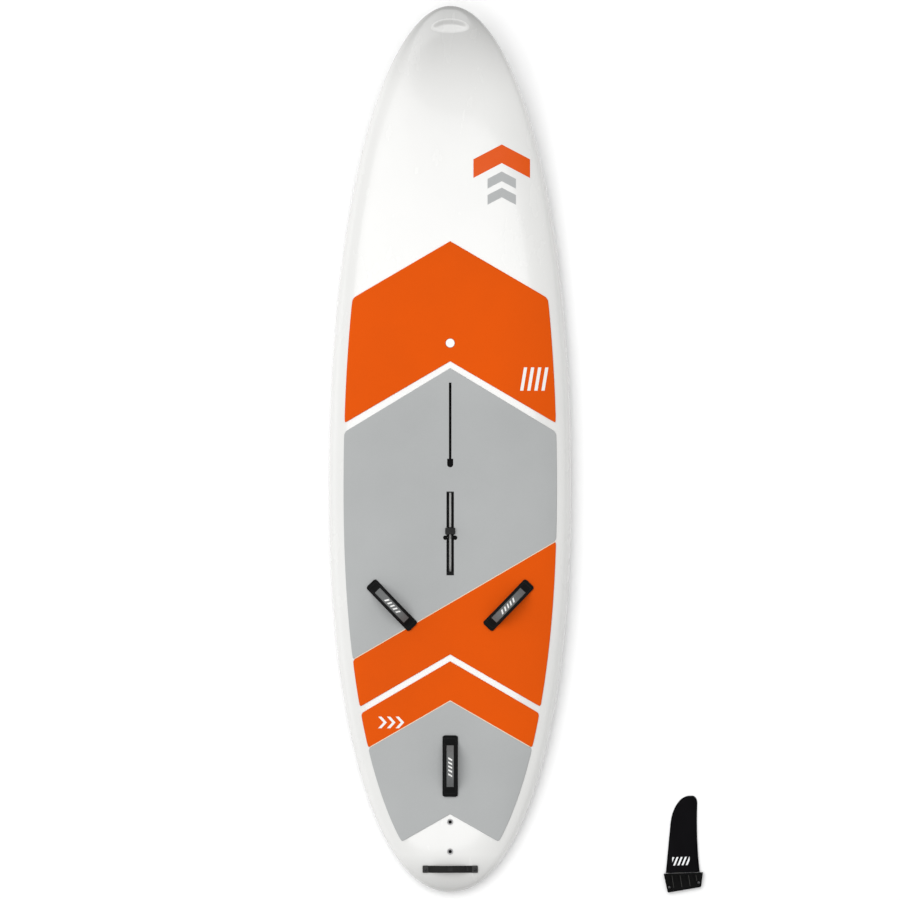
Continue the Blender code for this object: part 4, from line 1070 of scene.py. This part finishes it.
def make_label_mark(name, course):
    """Plain slanted bars woven across the middle of a strap's label."""
    bm = bmesh.new()
    for k in range(5):
        middle = (k - 2) * 0.0115
        rows = []
        for offset in (STRAP_THICK + 0.00105, STRAP_THICK + 0.00135):
            row = []
            for t, slant in ((-0.0060, -0.0030), (0.0060, 0.0030)):
                for step in (0.0, 0.5, 1.0):
                    s = middle + slant + 0.0048 * (step if t < 0 else 1 - step)
                    row.append(bm.verts.new(course.point(s, t, offset)))
            rows.append(row)
        bridge(bm, rows[0], rows[1], closed=True)
        bm.faces.new(rows[0])
        bm.faces.new(rows[1])
    piece(bm, f"{name}_label_bars", WHITE_FILM, "board", "label_grey")


def add_stitch(bm, start, end, up, radius=0.00032):
    """A short thread between two points that dips into the cloth at both ends."""
    axis = (end - start).normalized()
    side = axis.cross(up).normalized()
    rings = []
    for share, sink, size in ((0.0, 1.2, 0.5), (0.2, 0.0, 1.0), (0.5, -0.4, 1.0), (0.8, 0.0, 1.0),
                              (1.0, 1.2, 0.5)):
        middle = start.lerp(end, share) - up * radius * sink
        ring = []
        for k in range(6):
            a = math.pi * k / 3
            ring.append(bm.verts.new(
                middle + (side * math.cos(a) + up * math.sin(a)) * radius * size
            ))
        rings.append(ring)
    for a, b in zip(rings, rings[1:]):
        bridge(bm, a, b, closed=True)
    bm.faces.new(rings[0])
    bm.faces.new(rings[-1])


def make_stitches(name, course, half):
    """Two long seams on the sleeve, a cross seam at each foot, and a seam round the label."""
    bm = bmesh.new()
    pitch, length = 0.0042, 0.0030

    def run(points):
        for (s0, t0, lift0), (s1, t1, lift1) in points:
            start, end = course.point(s0, t0, lift0), course.point(s1, t1, lift1)
            up = (course.point(s0, t0, lift0 + 0.001) - start).normalized()
            add_stitch(bm, start, end, up)

    fine = course.even(0.084, 2 * int(0.1 / pitch))
    for t in (half - SEAM_IN, SEAM_IN - half):
        pairs = []
        for s0, s1 in zip(fine, fine[1:]):
            s_end = s0 + (s1 - s0) * length / pitch
            pairs.append(((s0, t, STRAP_THICK - 0.0007), (s_end, t, STRAP_THICK - 0.0007)))
        run(pairs)
    for s in (-0.0855, 0.0855, -0.0675, 0.0675):
        count = int(2 * (half - SEAM_IN) / pitch)
        first = SEAM_IN - half
        run([((s, first + pitch * k, STRAP_THICK - 0.0009),
              (s, first + pitch * k + length, STRAP_THICK - 0.0009)) for k in range(count)])
    label = [0.0575 * (2 * k / 30 - 1) for k in range(31)]
    for t in (-0.0098, 0.0098):
        run([((a, t, STRAP_THICK + 0.0011), (a + (b - a) * 0.7, t, STRAP_THICK + 0.0011))
             for a, b in zip(label, label[1:])])
    piece(bm, f"{name}_stitches", THREAD, "board", "strap_fabric")


def make_handle():
    """A webbing loop with a padded grip, held down by a screwed plate at each end."""
    course = Arch((0.0, HANDLE_Y), 0.0, HANDLE_ARCH, HANDLE_FOOT, deck_z)
    stops = course.even(0.0853, 96)
    rings = []
    for s in stops:
        pad = 1.0 / (1.0 + math.exp((abs(s) - 0.047) / 0.0018))
        ridge = 0.00022 * pad * math.cos(s * 2 * math.pi / 0.0062)
        thick = 0.0015 + 0.0018 * pad + ridge
        rings.append(band_ring(course, s, 0.0110, thick, 0.0015 + 0.0016 * pad))
    grip = piece(loft(rings), "handle_padding", GRIP_CLOTH, "board", "strap_fabric", "handle_grip",
                 sharp=60.0)
    flat = Arch((0.0, HANDLE_Y), 0.0, (0.0, *HANDLE_ARCH[1:]), HANDLE_FOOT, deck_z)
    for sign, word in ((-1, "left"), (1, "right")):
        rows = []
        for k in range(17):
            s = 0.0680 + 0.0180 * k / 16
            edge = max(0.0, abs(s - 0.0770) - 0.0060)
            narrow = 0.0030 - math.sqrt(max(0.0, 0.0030**2 - edge**2))
            half = 0.0114 - narrow
            ring = []
            for t, offset in band_outline(half, 0.0019, 0.0049 - 0.25 * narrow, 0.0007):
                ring.append(flat.point(sign * s, t, offset))
            rows.append(ring)
        piece(loft(rows), f"handle_washer_plate_{word}", PLATE_PLASTIC, "board", "black_plastic",
              f"handle_plate_{word}", sharp=50.0)
        x = sign * HANDLE_SCREW_X
        normal = deck_normal(x, HANDLE_Y)
        head = Vector((x, HANDLE_Y, deck_z(x, HANDLE_Y))) + normal * (HANDLE_FOOT + 0.0056 - 0.0006)
        make_screw(f"handle_pan_screw_{word}", f"handle_screw_{word}", head, normal, 0.0048, 0.0024)
    for word, t, size, high in (("middle", 0.0, 0.0075, 0.0041), ("side", 0.052, 0.0032, 0.0034)):
        rings = []
        for k in range(9):
            s = t + size * (2 * k / 8 - 1)
            rings.append([course.point(s, side, offset)
                          for side, offset in band_outline(0.0062, 0.0022, high)])
        piece(loft(rings), f"handle_tab_{word}", PEG_RUBBER, "board", "strap_fabric")


def make_screw(name, node, head, normal, radius, height):
    """A pan-head screw with a cross recess and a plain shank."""
    profile = [(0.0, height), (radius * 0.45, height * 0.97), (radius * 0.75, height * 0.82),
               (radius * 0.93, height * 0.52), (radius, height * 0.18), (radius, 0.0),
               (0.0021, 0.0), (0.0021, -0.028), (0.0, -0.031)]
    screw = piece(turned(profile, 40), name, DARK_STEEL, "board", "steel", node, sharp=35.0)
    reach, half = radius * 0.62, radius * 0.13
    depth = (height * 0.35, height * 2)
    carve(screw, prism_guide("cross", [rectangle(-reach, -half, reach, half)], *depth),
          prism_guide("arm", [rectangle(-half, -reach, half, reach)], *depth))
    sharpen(screw, 35.0)
    turn = normal.to_track_quat("Z", "Y").to_matrix().to_4x4()
    screw.matrix_world = Matrix.Translation(head) @ turn


# ---------------------------------------------------------------- vent, bushes and bolts
def make_vent():
    seat = deck_z(0.0, VENT_Y) - 0.0006
    head = seat + GAP
    r = VENT_R
    profile = [(0.0, head + 0.0038), (r - 0.0022, head + 0.0038), (r - 0.0010, head + 0.0034),
               (r - 0.0003, head + 0.0026), (r, head + 0.0014), (r, head), (0.0061, head)]
    for k in range(9):
        profile += [(0.0061, head - 0.0006 - 0.0012 * k), (0.0055, head - 0.0012 - 0.0012 * k)]
    profile += [(0.0050, head - 0.0122), (0.0, head - 0.0122)]
    plug = placed(turned(profile, 72), (0.0, VENT_Y, 0.0), "vent_cap", WHITE_PLASTIC, "vent_screw",
                  "white_lacquer", "vent_plug", sharp=40.0)
    coin = prism_guide("coin", [rectangle(-0.0092, VENT_Y - 0.0010, 0.0092, VENT_Y + 0.0010)],
                       z0=head + 0.0024, z1=0.25)
    carve(plug, coin)
    sharpen(plug, 40.0)
    soften("vent_insert", PLASTIC, 0.0)
    soften("vent_seal", RUBBER, 0.0)


def make_fin_bolts():
    for sign, word in ((1, "front"), (-1, "rear")):
        y = FIN_CENTRE + sign * BOLT_HALF_SPACING
        top = deck_z(0.0, y) - 0.0006
        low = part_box(f"bolt_bush_{word}")[0].z
        bush = [(0.0095, top - 0.0002), (0.0090, top + 0.0001), (0.0070, top + 0.0001),
                (0.0058, top - 0.0009), (0.0052, top - 0.0022), (0.0052, top - 0.0060),
                (0.0036, top - 0.0062), (0.0036, low), (0.0062, low), (0.0062, top - 0.0025),
                (0.0095, top - 0.0025)]
        # The bush's mid-grey colour is painted shade round the bolt.
        placed(turned(bush), (0.0, y, 0.0), f"deck_bush_{word}", BUSH_PAINTED_SHADE_PLASTIC, "board",
               "white_lacquer", f"bolt_bush_{word}", sharp=40.0)
        bolt_low, bolt_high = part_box(f"fin_bolt_{word}")
        z = bolt_high.z
        bolt = [(0.0, z), (0.0039, z), (0.0044, z - 0.0005), (0.0046, z - 0.0012),
                (0.0046, z - 0.0048), (0.0030, z - 0.0050), (0.0030, z - 0.030)]
        threads = int((z - 0.030 - bolt_low.z - 0.002) / 0.001)
        for k in range(threads):
            bolt += [(0.0030, z - 0.0303 - 0.001 * k), (0.0026, z - 0.0308 - 0.001 * k)]
        bolt += [(0.0024, bolt_low.z + 0.0004), (0.0, bolt_low.z)]
        made = placed(turned(bolt, 32), (0.0, y, 0.0), f"hex_bolt_{word}", PLASTIC,
                      f"{word}_bolt", "black_plastic", f"fin_bolt_{word}", sharp=35.0)
        key = prism_guide("key", [circle(0.0026, 6, (0.0, y))], z0=z - 0.0032, z1=0.25)
        carve(made, key)
        sharpen(made, 35.0)


# ---------------------------------------------------------------- mast track and daggerboard
def make_track():
    """The slotted track: its lips at the top, the wider channel under them, and its ends."""
    low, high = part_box("mast_track_box")
    bm = bmesh.new()
    prism(bm, rectangle(low.x, low.y, high.x, high.y), low.z, high.z)
    track = piece(bm, "mast_track", PLASTIC, "board", "black_plastic", "mast_track_box")
    slot = prism_guide("slot", [keyhole(TRACK_SLOT, TRACK_CHANNEL)], z0=high.z - 0.022, z1=0.25)
    channel = prism_guide("channel", [rectangle(-TRACK_CHANNEL, TRACK_REAR, TRACK_CHANNEL,
                                                TRACK_FRONT)], high.z - 0.028, high.z - 0.012)
    teeth = []
    for k in range(36):  # fine teeth under the lips, which a mast foot's nut grips
        y = TRACK_NECK + 0.010 + 0.006 * k
        teeth.append(rectangle(-TRACK_CHANNEL - 0.0006, y, TRACK_CHANNEL + 0.0006, y + 0.003))
    grip = prism_guide("teeth", teeth, high.z - 0.0135, high.z - 0.0115)
    carve(track, slot, channel, grip)
    add_bevel(track, 0.0004, 50.0)
    freeze(track)
    sharpen(track, 35.0)


def foil_ring(u):
    """Section of the daggerboard at u from its pivot: a slab in the head, a lens in the blade."""
    share = min(1.0, max(0.0, (-0.104 - u) / 0.416))
    blend = min(1.0, max(0.0, (-0.085 - u) / 0.060))
    blend = blend * blend * (3 - 2 * blend)
    top = 0.0050 + (-0.0045 - 0.0180 * share - 0.0050) * blend
    low = -0.128 + 0.012 * share
    corner = 0.030
    if u > 0.0070 - corner:
        reach = min(1.0, (u - (0.0070 - corner)) / corner)
        low += corner * (1 - math.sqrt(max(0.0, 1 - reach**2)))
    if share > 0.75:
        past = (share - 0.75) / 0.25
        pinch = 1.0 - math.sqrt(max(0.0, 1.0 - past**2.4))
        low += pinch * 0.058
        top -= pinch * 0.034
    half = 0.0068 - 0.0028 * share
    ring = []
    for k in range(48):
        a = 2 * math.pi * k / 48
        slab = bent(math.cos(a), 0.16) * half
        lens = half * math.cos(a) * (1 - 0.30 * math.sin(a))
        x = slab + (lens - slab) * blend
        v_slab = bent(math.sin(a), 0.16)
        v = v_slab + (math.sin(a) - v_slab) * blend
        ring.append((x, PIVOT.y + u, PIVOT.z + (top + low) / 2 + v * (top - low) / 2))
    return ring


def make_daggerboard():
    head = [-0.012, -0.020, -0.030, -0.045, -0.060, -0.075, -0.085]
    neck = [-0.104 + 0.019 - 0.00475 * k for k in range(1, 9)]
    blade = [-0.125 - 0.0125 * k for k in range(1, 25)]
    tip = [-0.520 + 0.090 * (1 - math.sin(math.pi / 2 * k / 14)) for k in range(15)]
    front = [0.0068 - 0.030 * (1 - math.sin(math.pi / 2 * k / 8)) for k in range(8, 0, -1)]
    stations = sorted(set(front + head + neck + [b for b in blade if b > -0.429] + tip),
                      reverse=True)
    rings = [hub_free(foil_ring(u), u) for u in stations]
    foil = piece(loft(rings), "daggerboard_foil", COMPOSITE, "daggerboard", "grey_composite",
                 "daggerboard_blade", "daggerboard_head", sharp=40.0)
    carve(foil, cross_bar("bore", 0.0037, 0.02))
    sharpen(foil, 40.0)
    outline = [(-0.0030, 0.0048), (0.0040, 0.0010), (0.0270, 0.0112), (0.0130, 0.0112),
               (-0.0020, 0.0062)]
    sides = [[(x, PIVOT.y + u, PIVOT.z + v) for u, v in outline] for x in (-0.0030, 0.0030)]
    neck_piece = piece(loft(sides), "peg_neck", COMPOSITE, "daggerboard", "grey_composite")
    add_bevel(neck_piece, 0.0006, 30.0)
    make_peg()


def hub_free(ring, u):
    """Keeps the head's front clear of the rail of the case by following the round hub there."""
    if u <= 0.0:
        return ring
    limit = PIVOT.z + math.sqrt(max(0.0, 0.0069**2 - u**2)) * 0.9
    return [(x, y, min(z, limit)) for x, y, z in ring]


def cross_bar(name, radius, half):
    """A round bar along X through the daggerboard's pivot, to cut its bore."""
    return guide(loft([[(x, PIVOT.y + a, PIVOT.z + b) for a, b in circle(radius, 32)]
                       for x in (-half, half)]), name)


def upright_bar(name, radius, x, low, high):
    """A round bar along the fin's own height, to cut a bolt's way into its root."""
    return guide(loft([[(x + a, v, b) for a, b in circle(radius, 20)] for v in (low, high)]), name)


def make_peg():
    """The foot peg: a rubber block with ribs across its top."""
    low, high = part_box("foot_peg")
    steps = 40
    rings = []
    for k in range(steps + 1):
        y = low.y + (high.y - low.y) * k / steps
        from_end = min(y - low.y, high.y - y)
        drop_end = 0.0022 - math.sqrt(max(0.0, 0.0022**2 - max(0.0, 0.0022 - from_end) ** 2))
        rib = 0.0006 * (0.5 + 0.5 * math.cos((y - low.y) * 2 * math.pi / 0.0040))
        top = high.z - drop_end - (rib if from_end > 0.002 else 0.0)
        half = high.x - drop_end * 0.5
        ring = []
        for m in range(40):
            a = 2 * math.pi * m / 40
            v = bent(math.sin(a), 0.30)
            ring.append((half * bent(math.cos(a), 0.22), y,
                         (top + low.z) / 2 + v * (top - low.z) / 2))
        rings.append(ring)
    piece(loft(rings), "ribbed_foot_peg", PEG_RUBBER, "daggerboard", "black_rubber", "foot_peg",
          sharp=50.0)


def make_case():
    soften("daggerboard_case", PLASTIC, 0.0005)
    for word in ("left", "right"):
        soften(f"slot_lip_{word}", RUBBER, 0.0008, 3)
        soften(f"lower_lip_{word}", RUBBER, 0.0004)
        x = SEAT_X * (-1 if word == "left" else 1)
        low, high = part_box(f"axle_seat_{word}")
        profile = [(0.0, high.z), (0.0030, high.z), (0.0034, high.z - 0.0004),
                   (0.0042, high.z - 0.0004), (0.0046, high.z), (0.0056, high.z),
                   (0.0063, high.z - 0.0006), (0.0065, high.z - 0.0014), (0.0065, low.z),
                   (0.0, low.z)]
        seat = placed(turned(profile, 48), (x, PIVOT.y, 0.0), f"axle_cap_{word}", RUBBER, "board",
                      "black_rubber", f"axle_seat_{word}", sharp=40.0)
        carve(seat, cross_bar("seat_bore", 0.0034, 0.03))
        sharpen(seat, 40.0)
    soften("slot_strip", COMPOSITE, 0.0005)
    soften("pivot_axle", STEEL, 0.0003)


# ---------------------------------------------------------------- the loose fin and its box
def edge_at(curve, corner, height):
    """Where one edge passes a height: a cubic curve that turns in to the tip at the top."""
    low, high = 0.0, 1.0
    for _ in range(40):
        t = (low + high) / 2
        a, b, c, d = (1 - t) ** 3, 3 * (1 - t) ** 2 * t, 3 * (1 - t) * t * t, t**3
        if a * curve[0][1] + b * curve[1][1] + c * curve[2][1] + d * curve[3][1] < height:
            low = t
        else:
            high = t
    edge = a * curve[0][0] + b * curve[1][0] + c * curve[2][0] + d * curve[3][0]
    start, power = corner
    share = max(0.0, (height - start) / (FIN_TIP[1] - start))
    return FIN_TIP[0] + (edge - FIN_TIP[0]) * (1.0 - share**power) ** (1.0 / power)


def fin_ring(height, points=44):
    """A foil section: a round nose, the thickest part at a third, and a fine tail."""
    lead = edge_at(FIN_LEAD, LEAD_CORNER, height)
    trail = edge_at(FIN_TRAIL, TRAIL_CORNER, height)
    chord = trail - lead
    half = 0.0052 * (1.0 - 0.6 * height / 0.24)
    ring = []
    for k in range(points):
        a = 2 * math.pi * k / points
        share = 0.5 - 0.5 * math.cos(a)
        body = 2.55 * math.sqrt(share) * (1 - share) ** 0.85
        thick = half * min(1.0, body) * (1 if k <= points / 2 else -1)
        if share > 0.97:
            thick *= 0.9
        ring.append((lead + chord * share, height, thick))
    return ring


def lay_fin(obj):
    """Lays a piece made on the fin's own axes where the fin lies, beside the tail."""
    tilt = Matrix.Rotation(-FIN_TILT, 4, "X")
    turn = Matrix.Rotation(FIN_TURN, 4, "Z")
    obj.matrix_world = Matrix.Translation(FIN_PLACE) @ turn @ tilt


def make_fin_blade():
    straight, low_turn = [0.0012 + 0.0060 * k for k in range(35)], 0.2052
    reach = FIN_TIP[1] - 0.0004 - low_turn
    turn = [low_turn + reach * math.sin(math.pi / 2 * k / 16) for k in range(1, 16)]
    blade = piece(loft([fin_ring(h) for h in straight + turn]), "fin_foil", FIN_GLOSS, "fin",
                  "fin_black", "fin_blade", sharp=50.0)
    lay_fin(blade)


def make_fin_root():
    """The root: two cross holes for the nuts, a way in for each bolt, grooves and ribs."""
    sides = [[(x, y - 0.0003, z) for x, y in fin_root_outline()] for z in (-BASE_HALF, BASE_HALF)]
    root = piece(loft(sides), "fin_root", ROOT_PLASTIC, "fin", "black_plastic", "fin_base")
    tools = []
    for x, y in FIN_NUTS.values():
        tools.append(prism_guide("nut_room", [circle(0.0045, 32, (x, y))], -0.02, 0.02))
        tools.append(upright_bar("lane", 0.0034, x, -0.08, -0.024))
    for k in range(4):
        x = -0.036 + 0.024 * k
        groove = [(x - 0.0075, -0.0060), (x + 0.0075, -0.0060), (x + 0.0130, -0.0260),
                  (x - 0.0020, -0.0260)]
        for z0, z1 in ((BASE_HALF - 0.0030, 0.02), (-0.02, 0.0030 - BASE_HALF)):
            tools.append(prism_guide("groove", [groove], z0, z1))
    carve(root, *tools)
    add_bevel(root, 0.0006)
    freeze(root)
    sharpen(root, 40.0)
    lay_fin(root)
    # The ribs are coloured lighter than the root: painted highlight on their raised tops.
    top, half = -0.007, 0.0007
    for k, (x, foot) in enumerate(FIN_RIBS):
        low_x = x - 0.12 * (foot - top)
        bar = bmesh.new()
        prism(bar, [(x - half, top), (low_x - half, foot), (low_x + half, foot), (x + half, top)],
              BASE_HALF - 0.0002, BASE_HALF + 0.0007)
        lay_fin(piece(bar, f"fin_root_rib_{k}", RIB_PAINTED_HIGHLIGHT_PLASTIC, "fin", "black_plastic"))


def make_fin_nuts():
    upper = [(0.0, 0.0080), (0.0030, 0.0080), (0.0038, 0.0076), (0.0042, 0.0068)]
    profile = upper + [(radius, -z) for radius, z in upper[::-1]]
    for word, (x, y) in FIN_NUTS.items():
        barrel = placed(turned(profile, 32), (x, y, 0.0), f"barrel_nut_{word}", DARK_STEEL, "fin",
                        "steel", f"fin_nut_{word}", sharp=35.0)
        slot = rectangle(x - 0.003, y - 0.0005, x + 0.003, y + 0.0005)
        carve(barrel, upright_bar("thread", 0.0025, x, -0.08, -0.01),
              prism_guide("driver", [slot], 0.0068, 0.02))
        sharpen(barrel, 35.0)
        lay_fin(barrel)


def fin_root_outline():
    """The tapered root with rounded lower corners."""
    corners = [(-BASE_TOP, 0.0), BASE_LEFT, BASE_RIGHT, (BASE_TOP, 0.0)]
    points = []
    for i, corner in enumerate(corners):
        here = Vector(corner)
        before, after = Vector(corners[i - 1]), Vector(corners[(i + 1) % 4])
        radius = 0.004 if i in (1, 2) else 0.0012
        a = here + (before - here).normalized() * radius
        b = here + (after - here).normalized() * radius
        for k in range(6):
            t = k / 5
            p = a.lerp(here, t).lerp(here.lerp(b, t), t)
            points.append((p.x, p.y))
    return points


# ---------------------------------------------------------------- stage
def make_stage():
    reach = 150.0
    bm = bmesh.new()
    bm.faces.new([bm.verts.new((x, y, -0.0004)) for x, y in rectangle(-reach, -reach, reach, reach)])
    floor = guide(bm, "floor")
    look = Look("studio_floor", 0.9)
    look.colour(look.blend(look.noise(1.5, 2.0), (0.93, 0.93, 0.93), (0.95, 0.95, 0.95)))
    floor.data.materials.append(look.material)


def make_light():
    """A wide soft light from almost overhead, in a room whose low part is bright on the left."""
    world = bpy.data.worlds.new("studio")
    bpy.context.scene.world = world
    world.use_nodes = True
    tree = world.node_tree

    def node(kind, *values, **options):
        made = tree.nodes.new(kind)
        for key, value in options.items():
            setattr(made, key, value)
        for socket, value in zip(made.inputs, values):
            if isinstance(value, bpy.types.NodeSocket):
                tree.links.new(value, socket)
            else:
                socket.default_value = value
        return made

    place = node("ShaderNodeTexCoord").outputs["Generated"]
    height = node("ShaderNodeSeparateXYZ", place).outputs["Z"]
    to_left = node("ShaderNodeVectorMath", place, (-0.95, 0.25, 0.0), operation="DOT_PRODUCT")
    low = node("ShaderNodeMapRange", to_left.outputs["Value"], 0.0, 0.9, *LOW_SKY).outputs[0]
    high = node("ShaderNodeMapRange", to_left.outputs["Value"], -0.7, 0.7, *HIGH_SKY).outputs[0]
    rise = node("ShaderNodeMapRange", height, 0.10, 0.50, 0.0, 1.0)
    rise.interpolation_type = "SMOOTHSTEP"
    level = node("ShaderNodeMix", rise.outputs[0], data_type="FLOAT")
    tree.links.new(low, level.inputs[2])
    tree.links.new(high, level.inputs[3])
    tree.links.new(level.outputs[0], tree.nodes["Background"].inputs["Color"])
    tree.nodes["Background"].inputs["Strength"].default_value = 1.0
    key = bpy.data.lights.new("key", "SUN")
    key.energy = KEY_LEVEL
    key.angle = math.radians(KEY_SPREAD)
    lamp = bpy.data.objects.new("key", key)
    bpy.context.scene.collection.objects.link(lamp)
    lamp.rotation_mode = "QUATERNION"
    lamp.rotation_quaternion = Vector(KEY_FROM).to_track_quat("Z", "Y")


def make_camera():
    """Straight down from far above, nose at the top, so that the view is almost without depth."""
    camera = bpy.data.cameras.new("camera")
    camera.lens, camera.sensor_width = LENS, SENSOR
    camera.clip_end = 600.0
    viewer = bpy.data.objects.new("camera", camera)
    viewer.location = (-0.0006, -0.0023, FIELD_LEVEL + FIELD * LENS / SENSOR)
    bpy.context.scene.collection.objects.link(viewer)
    bpy.context.scene.camera = viewer
    bpy.context.scene.view_settings.view_transform = "Standard"


make_camera()
make_light()
make_stage()
make_hull()
make_scoop()
make_pads()
make_marks()
make_joint_tapes()
make_track()
make_case()
make_daggerboard()
make_vent()
make_fin_bolts()
for strap, (spot, heading, breadth) in STRAPS.items():
    make_strap(strap, spot, heading, breadth)
make_handle()
make_fin_blade()
make_fin_root()
make_fin_nuts()
soften("fin_box", PLASTIC, 0.0004)
soften("handle_block", FOAM, 0.0)
